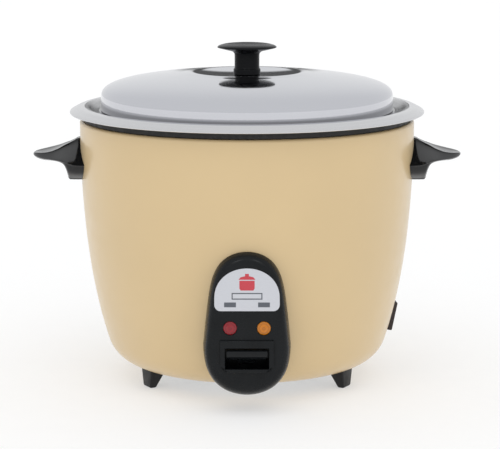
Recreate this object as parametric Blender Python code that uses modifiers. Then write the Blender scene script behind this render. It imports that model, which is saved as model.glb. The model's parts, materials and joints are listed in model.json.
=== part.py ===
"""A large rice cooker with a drop-in pan and a lift-off lid, built as its separate pieces.

Run with: blender --background --python part.py
Sizes below are in millimetres, and heights are measured from a datum FOOT_REACH above the floor.
The last step raises everything by FOOT_REACH, so the origin is on the floor, under the centre of
the pan. The control panel faces -Y, the handles stand out along X, and Z is up.
"""

import math

import bmesh
import bpy
from mathutils import Matrix, Vector

MM = 0.001
GAP = 0.3  # clearance kept between pieces that touch
SHEET = 1.2  # thickness of the pressed sheet parts
HOLE_R = 2.0  # clearance holes for the small screws

# Whole object
HANDLE_TIP_X = 218.0
FLANGE_R = 180.0
KNOB_TOP_Z = 334.0

# Outer shell
SHELL_TOP_Z = 257.0
WALL_DATUM_Z = 254.4  # the height at which the barrel curve of the wall is widest
SHELL_TOP_R = 170.0
SHELL_BASE_Z = 8.07
SHELL_CORNER_R = 34.0
SHELL_CORNER_Z = 31.9
SHELL_LIP_R = 102.0
SHELL_MOUTH_R = 158.0
SHELL_EDGE_R = 3.0  # rounding of the shell's top edge

# Liner, pan and lid
LINER_R = 151.0
LINER_FLOOR_Z = 80.0
LINER_HOLE_R = 112.0
LINER_CORNER_R = 22.0
LINER_LIP_R = 164.4
SEAT_IN_R = 151.8
SEAT_OUT_R = 167.0
PAN_R = 142.0
PAN_SHEET = 1.5
PAN_FLOOR_Z = 94.0
PAN_CORNER_R = 28.0
LEDGE_Z = 266.5
LEDGE_OUT_R = 150.5
LID_R = 148.5
LID_SHEET = 1.6
LID_RING_R = 50.0
LID_RING_Z = 305.2
LID_DISH_Z = 301.8
LID_SEAT_R = 15.0  # the flat in the middle of the dish, under the knob

# Heating
PLATE_R = 105.5
PLATE_TOP_Z = 93.7
PLATE_BASE_Z = 82.5
PLATE_HOLE_R = 22.0
ELEMENT_RING_R = 75.0
ELEMENT_R = 4.6
SUPPORT_RING_R = 92.0

# Switch works
PIVOT = Vector((0.0, -62.0, 46.0))
LEVER_Z = (44.5, 47.5)
CHEEK_X = (10.5, 12.0)
SWITCH_Y = (-40.0, -22.0)

# Control panel
PANEL_FRONT_Y = -176.0
PANEL_WALL = 3.0
PANEL_HALF_WIDTH = 42.3
PANEL_WIDEST_Z = 57.0
PANEL_TOP_Z = 151.0
PANEL_BASE_Z = 6.0
LAMP_X = 16.1
LAMP_Z = 77.8
LAMP_R = 6.6
PANEL_SCREW_X = 20.0
PANEL_SCREW_Z = 118.0
SLOT_HALF_WIDTH = 21.0
SLOT_Z = (38.0, 58.5)

# Handles
HANDLE_SECTIONS = (
    # x, ridge z, ridge y, dish, widest y, widest z, under z, under y
    (150.0, 238.5, 6.0, 0.0, 45.0, 214.0, 198.0, 28.0),
    (170.0, 237.6, 6.5, 0.0, 45.0, 214.0, 198.0, 28.0),
    (176.0, 235.3, 7.2, 0.1, 44.5, 214.8, 198.0, 27.5),
    (180.0, 233.4, 8.6, 0.3, 43.4, 216.0, 198.7, 27.0),
    (182.0, 232.5, 9.8, 0.5, 42.7, 216.7, 204.4, 26.5),
    (184.2, 231.7, 11.2, 0.7, 41.8, 217.4, 211.2, 27.0),
    (187.0, 230.5, 13.6, 1.0, 40.6, 218.2, 215.0, 30.0),
    (192.0, 228.2, 18.4, 1.5, 37.6, 219.0, 216.8, 30.0),
    (199.0, 225.9, 21.6, 1.8, 32.6, 219.5, 217.3, 26.0),
    (206.0, 224.4, 19.2, 1.6, 26.2, 219.6, 217.2, 20.5),
    (212.0, 223.6, 13.8, 1.0, 18.6, 219.9, 217.8, 14.0),
    (216.0, 223.0, 8.0, 0.4, 10.8, 220.4, 218.9, 8.0),
    (HANDLE_TIP_X, 222.1, 3.4, 0.1, 4.6, 221.0, 220.3, 3.4),
)
HANDLE_SCREW_Y = 26.0
HANDLE_SCREW_Z = 212.0

# Feet and inlet
FOOT_REACH = 10.0
FOOT_TURNS = {"front_left": 210.0, "front_right": 330.0, "rear": 90.0}  # degrees from +X
FOOT_SECTIONS = (  # height, inner radius, outer radius, half width
    (-FOOT_REACH, 110.5, 117.4, 8.0),
    (10.0, 99.4, 117.8, 11.7),
)
FOOT_SCREW_R = 114.0
FOOT_SCREW_Z = 10.7
BASE_SCREW_R = 106.0
BASE_SCREW_TURN = 5.6  # degrees from +X to the first screw of the bottom plate
INLET_ANGLE = math.radians(5.0)
INLET_TILT = math.radians(11.5)
INLET_Z = 51.7

BIG = 32  # steps round the large turned parts
SMALL = 16  # steps round the small ones

COLOURS = {
    "shell_enamel": ((0.72, 0.53, 0.29), 0.30, 0.0),
    "polished_aluminium": ((0.78, 0.78, 0.80), 0.18, 1.0),
    "pan_aluminium": ((0.74, 0.74, 0.74), 0.32, 1.0),
    "black_phenolic": ((0.022, 0.024, 0.026), 0.30, 0.0),
    "panel_plastic": ((0.028, 0.030, 0.034), 0.38, 0.0),
    "rim_silicone": ((0.018, 0.016, 0.014), 0.70, 0.0),
    "label_plate": ((0.62, 0.63, 0.66), 0.35, 1.0),
    "lamp_red": ((0.40, 0.03, 0.04), 0.20, 0.0),
    "lamp_amber": ((0.75, 0.25, 0.02), 0.20, 0.0),
    "neon_glass": ((0.80, 0.78, 0.72), 0.08, 0.0),
    "cast_aluminium": ((0.60, 0.60, 0.61), 0.50, 1.0),
    "liner_steel": ((0.55, 0.55, 0.56), 0.35, 1.0),
    "zinc_steel": ((0.62, 0.63, 0.62), 0.38, 1.0),
    "element_sheath": ((0.35, 0.33, 0.30), 0.45, 1.0),
    "spring_steel": ((0.50, 0.50, 0.52), 0.25, 1.0),
    "ferrite": ((0.05, 0.05, 0.055), 0.60, 0.0),
    "screw_steel": ((0.70, 0.70, 0.72), 0.28, 1.0),
    "inlet_plastic": ((0.045, 0.022, 0.016), 0.45, 0.0),
    "pin_brass": ((0.70, 0.52, 0.22), 0.25, 1.0),
    "wire_cover": ((0.62, 0.60, 0.56), 0.60, 0.0),
    "fuse_ceramic": ((0.80, 0.78, 0.72), 0.55, 0.0),
    "heater_mica": ((0.52, 0.46, 0.36), 0.60, 0.0),
}


# ---- helpers -----------------------------------------------------------------------------


def clear_scene():
    for obj in list(bpy.data.objects):
        bpy.data.objects.remove(obj, do_unlink=True)


def collection(name):
    found = bpy.data.collections.new(name)
    bpy.context.scene.collection.children.link(found)
    return found


def material(slot):
    """The slot's Principled material, made once."""
    found = bpy.data.materials.get(slot)
    if found:
        return found
    colour, roughness, metallic = COLOURS[slot]
    found = bpy.data.materials.new(slot)
    found.use_nodes = True
    shader = found.node_tree.nodes["Principled BSDF"]
    shader.inputs["Base Color"].default_value = (*colour, 1.0)
    shader.inputs["Roughness"].default_value = roughness
    shader.inputs["Metallic"].default_value = metallic
    return found


def to_metres(points):
    return [Vector(point) * MM for point in points]


def add_mesh(name, mesh, slot):
    obj = bpy.data.objects.new(name, mesh)
    if slot:
        mesh.materials.append(material(slot))
        parts.objects.link(obj)
    else:
        cutters.objects.link(obj)
        obj.hide_render = True
        obj.display_type = "WIRE"
    return obj


def shade_round(mesh, angle=math.radians(35.0)):
    mesh.shade_smooth()
    mesh.set_sharp_from_angle(angle=angle)


def turned(name, profile, slot, steps=BIG):
    """A solid of revolution about Z. The (radius, height) profile runs down its outer side."""
    mesh = bpy.data.meshes.new(name)
    closed = profile[0][0] > 0 or profile[-1][0] > 0
    count = len(profile)
    edges = [(i, (i + 1) % count) for i in range(count if closed else count - 1)]
    mesh.from_pydata(to_metres([(r, 0.0, z) for r, z in profile]), edges, [])
    obj = add_mesh(name, mesh, slot)
    screw = obj.modifiers.new("turn", "SCREW")
    screw.axis = "Z"
    screw.angle = 2.0 * math.pi
    screw.steps = steps
    screw.render_steps = steps
    screw.use_merge_vertices = True
    screw.merge_threshold = 0.00001
    screw.use_smooth_shade = True
    return obj


def point_along(obj, start, direction):
    """Moves an object made about Z so that its Z runs from start along direction."""
    obj.rotation_euler = Vector(direction).to_track_quat("Z", "Y").to_euler()
    obj.location = Vector(start) * MM
    return obj


def block(name, low, high, slot, rounding=0.0):
    """A rectangular block between two corners, with its edges rounded."""
    mesh = bpy.data.meshes.new(name)
    shape = bmesh.new()
    bmesh.ops.create_cube(shape, size=1.0)
    size = [b - a for a, b in zip(low, high)]
    middle = [(a + b) / 2 for a, b in zip(low, high)]
    bmesh.ops.scale(shape, vec=Vector(size) * MM, verts=shape.verts)
    bmesh.ops.translate(shape, vec=Vector(middle) * MM, verts=shape.verts)
    shape.to_mesh(mesh)
    shape.free()
    obj = add_mesh(name, mesh, slot)
    if rounding:
        bevel(obj, rounding)
    return obj


def bevel(obj, width, segments=2):
    rounding = obj.modifiers.new("round", "BEVEL")
    rounding.width = width * MM
    rounding.segments = segments
    rounding.limit_method = "ANGLE"
    return rounding


def rod(name, start, end, radius, slot, steps=SMALL):
    """A round bar between two points."""
    direction = Vector(end) - Vector(start)
    profile = [(0.0, direction.length), (radius, direction.length), (radius, 0.0), (0.0, 0.0)]
    return point_along(turned(name, profile, slot, steps), start, direction)


def mesh_of_curve(name, curve, slot):
    """The curve's solid as a mesh with its caps welded."""
    guide = bpy.data.objects.new(name + "_guide", curve)
    cutters.objects.link(guide)
    graph = bpy.context.evaluated_depsgraph_get()
    mesh = bpy.data.meshes.new_from_object(guide.evaluated_get(graph))
    bpy.data.objects.remove(guide, do_unlink=True)
    shape = bmesh.new()
    shape.from_mesh(mesh)
    bmesh.ops.remove_doubles(shape, verts=shape.verts, dist=0.00001)
    bmesh.ops.recalc_face_normals(shape, faces=shape.faces)
    shape.to_mesh(mesh)
    shape.free()
    mesh.name = name
    mesh.materials.clear()
    return add_mesh(name, mesh, slot)


def plate(name, outline, thickness, slot):
    """A flat outline in its own XY plane, centred on z = 0, with the given thickness."""
    curve = bpy.data.curves.new(name, "CURVE")
    curve.dimensions = "2D"
    curve.fill_mode = "BOTH"
    curve.extrude = thickness / 2 * MM
    spline = curve.splines.new("POLY")
    spline.points.add(len(outline) - 1)
    for point, (x, y) in zip(spline.points, outline):
        point.co = (x * MM, y * MM, 0.0, 1.0)
    spline.use_cyclic_u = True
    return mesh_of_curve(name, curve, slot)


def turn_mesh(obj, matrix):
    obj.data.transform(matrix)
    return obj


def side_plate(name, outline_yz, low_x, high_x, slot):
    """A (y, z) outline with its thickness along X."""
    obj = plate(name, outline_yz, high_x - low_x, slot)
    turn_mesh(obj, Matrix(((0, 0, 1, 0), (1, 0, 0, 0), (0, 1, 0, 0), (0, 0, 0, 1))))
    return turn_mesh(obj, Matrix.Translation(Vector(((low_x + high_x) / 2, 0, 0)) * MM))


def front_plate(name, outline_xz, low_y, high_y, slot):
    """An (x, z) outline with its thickness along Y."""
    obj = plate(name, outline_xz, high_y - low_y, slot)
    turn_mesh(obj, Matrix.Rotation(math.pi / 2, 4, "X"))
    return turn_mesh(obj, Matrix.Translation(Vector((0, (low_y + high_y) / 2, 0)) * MM))


def smooth_route(points, spacing):
    """Points about `spacing` apart on a Catmull-Rom curve through the given ones."""
    knots = [Vector(point) for point in points]
    knots = [2 * knots[0] - knots[1], *knots, 2 * knots[-1] - knots[-2]]
    route = []
    for a, b, c, d in zip(knots, knots[1:], knots[2:], knots[3:]):
        count = max(1, round((c - b).length / spacing))
        for step in range(count):
            t = step / count
            swing = (c - a) * t + (2 * a - 5 * b + 4 * c - d) * t**2 + (3 * b - 3 * c + d - a) * t**3
            route.append(b + swing / 2)
    return route + [knots[-2]]


def tube(name, points, radius, slot):
    """A round wire or tube along the points."""
    curve = bpy.data.curves.new(name, "CURVE")
    curve.dimensions = "3D"
    curve.bevel_depth = radius * MM
    curve.bevel_resolution = 2
    curve.use_fill_caps = True
    spline = curve.splines.new("POLY")
    spline.points.add(len(points) - 1)
    for point, place in zip(spline.points, points):
        point.co = (*(Vector(place) * MM), 1.0)
    return mesh_of_curve(name, curve, slot)


def loft(name, rings, slot):
    """A closed skin over rings of equally many points, with flat ends."""
    mesh = bpy.data.meshes.new(name)
    shape = bmesh.new()
    rows = [[shape.verts.new(point) for point in to_metres(ring)] for ring in rings]
    count = len(rows[0])
    for row, following in zip(rows, rows[1:]):
        for i in range(count):
            j = (i + 1) % count
            shape.faces.new((row[i], row[j], following[j], following[i]))
    shape.faces.new(rows[0])
    shape.faces.new(rows[-1])
    bmesh.ops.recalc_face_normals(shape, faces=shape.faces)
    shape.to_mesh(mesh)
    shape.free()
    shade_round(mesh)
    return add_mesh(name, mesh, slot)


def combine(obj, tool, operation="DIFFERENCE"):
    """Cuts, joins or keeps what is shared with a tool from the cutters collection."""
    step = obj.modifiers.new(operation.lower(), "BOOLEAN")
    step.operation = operation
    step.object = tool
    step.solver = "EXACT"
    return obj


def screw(name, head_face, direction, length, shank_r=1.6, head_r=3.4, head_h=2.0, slot="screw_steel"):
    """A domed-head screw. The head's flat underside is at head_face, and the shank runs along direction."""
    profile = [
        (0.0, length),
        (shank_r * 0.6, length),
        (shank_r, length - shank_r),
        (shank_r, 0.0),
        (head_r, 0.0),
        (head_r * 0.86, -head_h * 0.7),
        (0.0, -head_h),
    ]
    return point_along(turned(name, profile, slot, 10), head_face, direction)


def bore(name, start, end, radius):
    """The tool for a small drilled hole."""
    return rod(name, start, end, radius, None, 12)


def ring_point(radius, degrees, height):
    angle = math.radians(degrees)
    return (radius * math.cos(angle), radius * math.sin(angle), height)


# ---- outlines that several pieces share --------------------------------------------------


def wall_radius(z, grow=0.0):
    """The shell's outer radius at a height: a slow barrel curve that tightens lower down."""
    depth = (WALL_DATUM_Z - z) / 206.0
    return SHELL_TOP_R - 16.5 * depth**2 - 5.8 * depth**4 + grow


def corner_centre():
    """Centre of the arc that turns the wall into the flat base, and the wall's lean there."""
    step = 0.5
    lean = math.atan2(wall_radius(SHELL_CORNER_Z + step) - wall_radius(SHELL_CORNER_Z - step), 2 * step)
    radius = wall_radius(SHELL_CORNER_Z) - SHELL_CORNER_R * math.cos(lean)
    return radius, SHELL_CORNER_Z + SHELL_CORNER_R * math.sin(lean), lean


def shell_side(top_z, end_r, grow=0.0, wall_steps=6, corner_steps=4):
    """The shell's outside from top_z down to a flat base that ends at end_r."""
    side = []
    for i in range(wall_steps):
        z = top_z + (SHELL_CORNER_Z - top_z) * i / wall_steps
        side.append((wall_radius(z, grow), z))
    centre_r, centre_z, lean = corner_centre()
    for i in range(corner_steps + 1):
        angle = lean + (math.pi / 2 - lean) * i / corner_steps
        reach = SHELL_CORNER_R + grow
        side.append((centre_r + reach * math.cos(angle), centre_z - reach * math.sin(angle)))
    side.append((end_r, side[-1][1]))
    return side


def shell_cutter(name):
    """The shell's whole volume with the usual gap round it, for trimming what rests on the shell."""
    side = shell_side(SHELL_TOP_Z + 4.0, 0.0, GAP)
    return turned(name, [(0.0, SHELL_TOP_Z + 4.0)] + side, None)


def arc(centre, radius, start, end, steps):
    """(r, z) points on an arc, angles in degrees."""
    points = []
    for i in range(steps + 1):
        angle = math.radians(start + (end - start) * i / steps)
        points.append((centre[0] + radius * math.cos(angle), centre[1] + radius * math.sin(angle)))
    return points


def panel_width(z):
    """The control panel's half-width at a height: an egg with its narrow end up."""
    if z >= PANEL_WIDEST_Z:
        t = (z - PANEL_WIDEST_Z) / (PANEL_TOP_Z - PANEL_WIDEST_Z)
        return (PANEL_HALF_WIDTH - 9.5 * t) * math.sqrt(max(0.0, 1.0 - t**6.3))
    t = (PANEL_WIDEST_Z - z) / (PANEL_WIDEST_Z - PANEL_BASE_Z)
    return PANEL_HALF_WIDTH * math.sqrt(max(0.0, 1.0 - t**2.3))


def panel_ring(y, inset, bend=1.0, steps=7):
    """One ring of the panel's loft, drawn in by an inset. Its chin leans back towards the shell."""
    half = []
    for i in range(steps + 1):
        half.append(PANEL_WIDEST_Z + (PANEL_TOP_Z - PANEL_WIDEST_Z) * math.cos(math.pi / 2 * i / steps))
    for i in range(1, steps + 1):
        half.append(PANEL_WIDEST_Z - (PANEL_WIDEST_Z - PANEL_BASE_Z) * math.sin(math.pi / 2 * i / steps))
    sides = [(panel_width(z), z) for z in half]
    outline = sides + [(-x, z) for x, z in reversed(sides[1:-1])]
    middle = 78.0
    wide = 1.0 - inset / PANEL_HALF_WIDTH
    tall = 1.0 - inset / (PANEL_TOP_Z - middle)
    ring = []
    for x, z in outline:
        z = middle + (z - middle) * tall
        low = max(0.0, (38.0 - z) / 32.0)
        ring.append((x * wide, y + 13.0 * bend * low**2, z))
    return ring


def lid_height(r):
    """The lid's outside: an almost flat cone that rolls over into a steep side."""
    roll = 1.0 - (1.0 - min(1.0, r / LID_R) ** 5.9) ** (1.0 / 3.4)
    return LID_RING_Z - 0.084 * (r - LID_RING_R) - 19.2 * roll


# ---- body shells -------------------------------------------------------------------------


def make_outer_shell():
    outer = shell_side(SHELL_TOP_Z - SHELL_EDGE_R, SHELL_LIP_R)
    inner = shell_side(SHELL_TOP_Z - SHELL_EDGE_R, SHELL_LIP_R, -SHEET)
    edge = arc((SHELL_TOP_R - SHELL_EDGE_R, SHELL_TOP_Z - SHELL_EDGE_R), SHELL_EDGE_R, 90, 20, 3)
    profile = [(SHELL_MOUTH_R, SHELL_TOP_Z)] + edge + outer + list(reversed(inner))
    profile += [(SHELL_TOP_R - SHELL_EDGE_R, SHELL_TOP_Z - SHEET), (SHELL_MOUTH_R, SHELL_TOP_Z - SHEET)]
    shell = turned("outer_shell", profile, "shell_enamel")
    combine(shell, block("lever_slot_tool", (-8, -160, 34), (8, -135, 51), None))
    for side in (-1, 1):
        lamp_hole = (side * LAMP_X, PANEL_FRONT_Y, LAMP_Z), (side * LAMP_X, -140, LAMP_Z)
        combine(shell, bore(f"lamp_hole_tool{side}", *lamp_hole, 4.0))
        x, z = side * PANEL_SCREW_X, PANEL_SCREW_Z
        combine(shell, bore(f"panel_screw_tool{side}", (x, PANEL_FRONT_Y, z), (x, -150, z), HOLE_R))
        for y in (-HANDLE_SCREW_Y, HANDLE_SCREW_Y):
            handle_hole = (side * 150, y, HANDLE_SCREW_Z), (side * 185, y, HANDLE_SCREW_Z)
            combine(shell, bore(f"handle_screw_tool{side}{y}", *handle_hole, HOLE_R))
    for name, turn in FOOT_TURNS.items():
        low, high = ring_point(FOOT_SCREW_R, turn, 0), ring_point(FOOT_SCREW_R, turn, 20)
        combine(shell, bore(f"foot_hole_tool_{name}", low, high, HOLE_R))
    for i, low, high in base_screw_lines():
        combine(shell, bore(f"base_hole_tool{i}", low, high, HOLE_R))
    combine(shell, place_at_inlet(block("inlet_hole_tool", (-12, -13.5, -11.5), (12, 13.5, 11.5), None)))


def make_liner():
    """The heat-shield bowl that hangs from the shell's mouth round the pan."""
    r, z, corner = LINER_R, LINER_FLOOR_Z, LINER_CORNER_R
    top = SHELL_TOP_Z + GAP
    outer = [(LINER_LIP_R, top + SHEET), (LINER_LIP_R, top), (r + SHEET, top)]
    outer += arc((r - corner, z + corner), corner + SHEET, 0, -90, 3)
    inner = arc((r - corner, z + corner), corner, -90, 0, 3)
    profile = outer + [(LINER_HOLE_R, z - SHEET), (LINER_HOLE_R, z)] + inner + [(r, top + SHEET)]
    turned("inner_liner", profile, "liner_steel")


def make_rim_seat():
    """The ring between the liner's lip and the pan's flange. Its skirt covers the lip's edge."""
    base = SHELL_TOP_Z + SHEET + 2 * GAP
    foot = SHELL_TOP_Z + GAP
    step = LINER_LIP_R + GAP
    profile = [(SEAT_IN_R, 265.1), (160.0, 268.1), (165.0, 267.6), (SEAT_OUT_R, 266.0), (SEAT_OUT_R, foot)]
    profile += [(step, foot), (step, base), (SEAT_IN_R, base)]
    turned("rim_seat_ring", profile, "rim_silicone")


def base_screw_lines():
    """Number, lower end and upper end of each hole for the bottom plate's screws."""
    lines = []
    for i in range(3):
        degrees = BASE_SCREW_TURN + 120 * i
        lines.append((i, ring_point(BASE_SCREW_R, degrees, 2), ring_point(BASE_SCREW_R, degrees, 14)))
    return lines


def make_bottom_plate():
    z = SHELL_BASE_Z + SHEET + GAP
    base = turned("bottom_plate", [(0, z + SHEET), (109.4, z + SHEET), (109.4, z), (0, z)], "zinc_steel")
    for i in range(6):
        slot = block(f"vent_tool{i}", (58, -2.5, 0), (84, 2.5, 30), None)
        slot.rotation_euler = (0, 0, math.radians(35.6 + 60 * i))
        combine(base, slot)
    for i, low, high in base_screw_lines():
        combine(base, bore(f"plate_hole_tool{i}", low, high, HOLE_R))
        head_face = ring_point(BASE_SCREW_R, BASE_SCREW_TURN + 120 * i, SHELL_BASE_Z - GAP)
        screw(f"bottom_screw_{i + 1}", head_face, (0, 0, 1), 9, head_h=1.8)


def make_feet():
    """Three tapered feet under the edge of the shell's base, each held by a screw from inside."""
    for name, turn in FOOT_TURNS.items():
        rings = []
        for z, inner_r, outer_r, half_width in FOOT_SECTIONS:
            low, high = -half_width, half_width
            rings.append([(inner_r, low, z), (outer_r, low, z), (outer_r, high, z), (inner_r, high, z)])
        foot = loft(f"foot_{name}", rings, "black_phenolic")
        turn_mesh(foot, Matrix.Rotation(math.radians(turn), 4, "Z"))
        bevel(foot, 1.4, 1)
        combine(foot, shell_cutter(f"foot_trim_tool_{name}"))
        head_face = ring_point(FOOT_SCREW_R, turn, FOOT_SCREW_Z)
        combine(foot, bore(f"foot_bore_tool_{name}", ring_point(FOOT_SCREW_R, turn, 0), head_face, 1.9))
        screw(f"foot_screw_{name}", head_face, (0, 0, -1), 10)


# ---- pan and lid -------------------------------------------------------------------------


def make_pan():
    """The drop-in pan: a deep bowl, a ledge for the lid and a wide rolled flange."""
    floor = PAN_FLOOR_Z + PAN_SHEET
    corner = (PAN_R - PAN_CORNER_R, floor + PAN_CORNER_R)
    profile = [(0, floor)]
    profile += arc(corner, PAN_CORNER_R, -90, 0, 4)
    profile += [(PAN_R, LEDGE_Z - 3.0), (PAN_R + 1.0, LEDGE_Z - 0.8), (PAN_R + 2.6, LEDGE_Z)]
    profile += [(LEDGE_OUT_R, LEDGE_Z), (160.0, 270.0), (165.5, 271.4), (171.0, 270.6), (176.5, 268.0)]
    profile += [(179.3, 266.4), (FLANGE_R, 265.2), (179.4, 264.3), (178.0, 264.6), (175.6, 266.6)]
    profile += [(170.4, 269.2), (165.4, 269.9), (160.6, 268.7), (151.0, LEDGE_Z - PAN_SHEET)]
    profile += [(PAN_R + PAN_SHEET + 1.2, LEDGE_Z - PAN_SHEET), (PAN_R + PAN_SHEET, LEDGE_Z - 3.4)]
    profile += arc(corner, PAN_CORNER_R + PAN_SHEET, 0, -90, 4)
    profile += [(0, PAN_FLOOR_Z)]
    turned("inner_pan", profile, "pan_aluminium")


def lid_dish(steps=4):
    """The dish from the flat under the knob out to its crest, as (radius, height) points."""
    dish = [(0, LID_DISH_Z)]
    for i in range(steps + 1):
        share = i / steps
        rise = (LID_RING_Z - 0.4 - LID_DISH_Z) * share**1.7
        dish.append((LID_SEAT_R + (LID_RING_R - LID_SEAT_R) * share, LID_DISH_Z + rise))
    return dish + [(LID_RING_R + 3.5, LID_RING_Z - 0.15), (LID_RING_R + 8.0, LID_RING_Z - 0.45)]


def make_lid():
    """A pressed lid with a shallow dish in the middle, where the knob is bolted."""
    outside = lid_dish() + [(r, lid_height(r)) for r in (66.0, 92.0, 112.0, 127.0, 138.0, 144.5, 147.8)]
    side_z = LEDGE_Z + GAP
    side_top_z = 274.0
    under = []
    for r, z in outside:
        share = max(0.0, min(1.0, (r - 125.0) / (LID_R - 125.0)))
        under.append((r - LID_SHEET * share, z - LID_SHEET * (1.0 - 0.2 * share)))
    profile = outside + [(LID_R, side_top_z), (LID_R, side_z), (LID_R - LID_SHEET, side_z)]
    profile += [(LID_R - LID_SHEET, side_top_z)] + list(reversed(under))
    lid = turned("lid", profile, "polished_aluminium")
    combine(lid, bore("lid_hole_tool", (0, 0, 290), (0, 0, 310), 2.4))


def make_knob():
    """The black knob on its stem, and the flanged bolt under the lid that holds it."""
    base = LID_DISH_Z + GAP
    profile = [(0, KNOB_TOP_Z), (12, KNOB_TOP_Z - 0.2), (22, KNOB_TOP_Z - 1.0), (28, KNOB_TOP_Z - 2.4)]
    profile += [(30, KNOB_TOP_Z - 4.0), (28.5, KNOB_TOP_Z - 5.2), (21, KNOB_TOP_Z - 7.0)]
    profile += [(14.5, KNOB_TOP_Z - 8.6), (12.6, KNOB_TOP_Z - 10.5), (12.6, 309.0), (13.6, 307.0)]
    profile += [(13.6, base), (0, base)]
    knob = turned("lid_knob", profile, "black_phenolic", 24)
    combine(knob, bore("knob_bore_tool", (0, 0, 290), (0, 0, 322), 2.4))
    under = LID_DISH_Z - LID_SHEET - GAP
    screw("knob_screw", (0, 0, under), (0, 0, 1), 21, 2.0, 7.0, 2.6)


# ---- heating -----------------------------------------------------------------------------


def make_hot_plate():
    top, base, r = PLATE_TOP_Z, PLATE_BASE_Z, PLATE_R
    groove_top = 88.7
    outer_groove, inner_groove = ELEMENT_RING_R + 5.2, ELEMENT_RING_R - 5.2
    profile = [(r - 2, top), (r, top - 2), (r, base + 1.5), (r - 1.5, base), (outer_groove, base)]
    profile += [(outer_groove, groove_top), (inner_groove, groove_top), (inner_groove, base)]
    profile += [(PLATE_HOLE_R, base), (PLATE_HOLE_R, top)]
    turned("hot_plate", profile, "cast_aluminium")


def make_element():
    """The sheathed heating element in the plate's groove, with both ends turned down at the rear."""
    height = 83.5
    arc_points = [ring_point(ELEMENT_RING_R, 105 + 330 * i / 30, height) for i in range(31)]
    first, last = Vector(arc_points[0]), Vector(arc_points[-1])
    start = [first + Vector((0, 0, -17)), first + Vector((0, 0, -6)), first + Vector((-1.2, -0.3, -1.6))]
    end = [last + Vector((1.2, -0.3, -1.6)), last + Vector((0, 0, -6)), last + Vector((0, 0, -17))]
    tube("heating_element", start + arc_points[1:-1] + end, ELEMENT_R, "element_sheath")


def make_plate_supports():
    low = SHELL_BASE_Z + 2 * SHEET + 2 * GAP
    high = PLATE_BASE_Z - GAP
    profile = [(0, high), (5, high), (5, high - 2), (3.2, high - 3)]
    profile += [(3.2, low + 4), (7, low + 2.5), (7, low), (0, low)]
    for i, degrees in enumerate((90, 210, 330)):
        support = turned(f"plate_support_{i + 1}", profile, "zinc_steel", 12)
        support.location = Vector(ring_point(SUPPORT_RING_R, degrees, 0)) * MM


def make_keep_warm_band():
    r = LINER_R + SHEET + 0.5
    turned("keep_warm_band", [(r + 1.6, 205), (r + 1.6, 165), (r, 165), (r, 205)], "heater_mica")


def make_thermostat():
    """The sprung pan sensor in the middle of the plate, and the magnet that the lever lifts to it."""
    body = [(28.0, 81.0), (28.0, 79.6), (20.8, 79.6), (20.8, 55.0), (3.8, 55.0), (3.8, 56.4)]
    body += [(19.5, 56.4), (19.5, 81.0)]
    turned("thermostat_body", body, "zinc_steel", 24)
    cap = [(0, PLATE_TOP_Z), (17.5, PLATE_TOP_Z), (19.0, 92.4), (19.0, 70.0), (17.4, 70.0)]
    cap += [(17.4, 91.8), (0, 91.8)]
    turned("sensor_cap", cap, "cast_aluminium", 24)
    turned("sensor_ferrite", [(0, 91.5), (12.8, 91.5), (12.8, 77.3), (0, 77.3)], "ferrite", 24)
    magnet = [(0, 72.3), (12.4, 72.3), (12.4, 66.0), (3.2, 66.0), (3.2, 48.6), (2.6, 48.1), (0, 48.1)]
    turned("magnet_holder", magnet, "spring_steel", 24)
    turns, per_turn, low, high = 5, 9, 57.6, 90.6
    coil = []
    for i in range(turns * per_turn + 1):
        share = i / (turns * per_turn)
        coil.append(ring_point(15.1, 360 * i / per_turn, low + (high - low) * share))
    tube("sensor_spring", coil, 0.9, "spring_steel")


# ---- switch works ------------------------------------------------------------------------


def make_lever():
    """The steel rocker on its pin, and the black paddle on its front end."""
    pivot = bpy.data.objects.new("lever_pivot", None)
    pivot.location = PIVOT * MM
    parts.objects.link(pivot)
    arm = block("lever_arm", (-6, -164, LEVER_Z[0]), (6, 9, LEVER_Z[1]), "zinc_steel")
    x, y, z = PIVOT
    combine(arm, rod("lever_boss_tool", (-9.6, y, z), (9.6, y, z), 6.0, None, 16), "UNION")
    combine(arm, rod("lever_bore_tool", (-14, y, z), (14, y, z), 2.85, None, 16))
    lip = [(-179.4, 50.2), (-179.4, 55.0), (-177.6, 56.6), (-170.0, 56.6), (-165.0, 52.5), (-152.0, 51.0)]
    lip += [(-152.0, 41.2), (-166.0, 41.2), (-172.0, 46.0), (-177.6, 48.6)]
    paddle = side_plate("cook_lever", lip, -19.6, 19.6, "panel_plastic")
    for side in (-1, 1):
        relief = (side * 9.0, -172.0, 38.0), (side * 24.0, -148.0, 60.0)
        low = [min(a, b) for a, b in zip(*relief)]
        high = [max(a, b) for a, b in zip(*relief)]
        combine(paddle, block(f"paddle_relief_tool{side}", low, high, None))
    socket = (-6.3, -164.4, LEVER_Z[0] - GAP), (6.3, -140, LEVER_Z[1] + GAP)
    combine(paddle, block("paddle_socket_tool", *socket, None))
    for piece in (arm, paddle):
        piece.parent = pivot
        piece.data.transform(Matrix.Translation(-PIVOT * MM))


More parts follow.
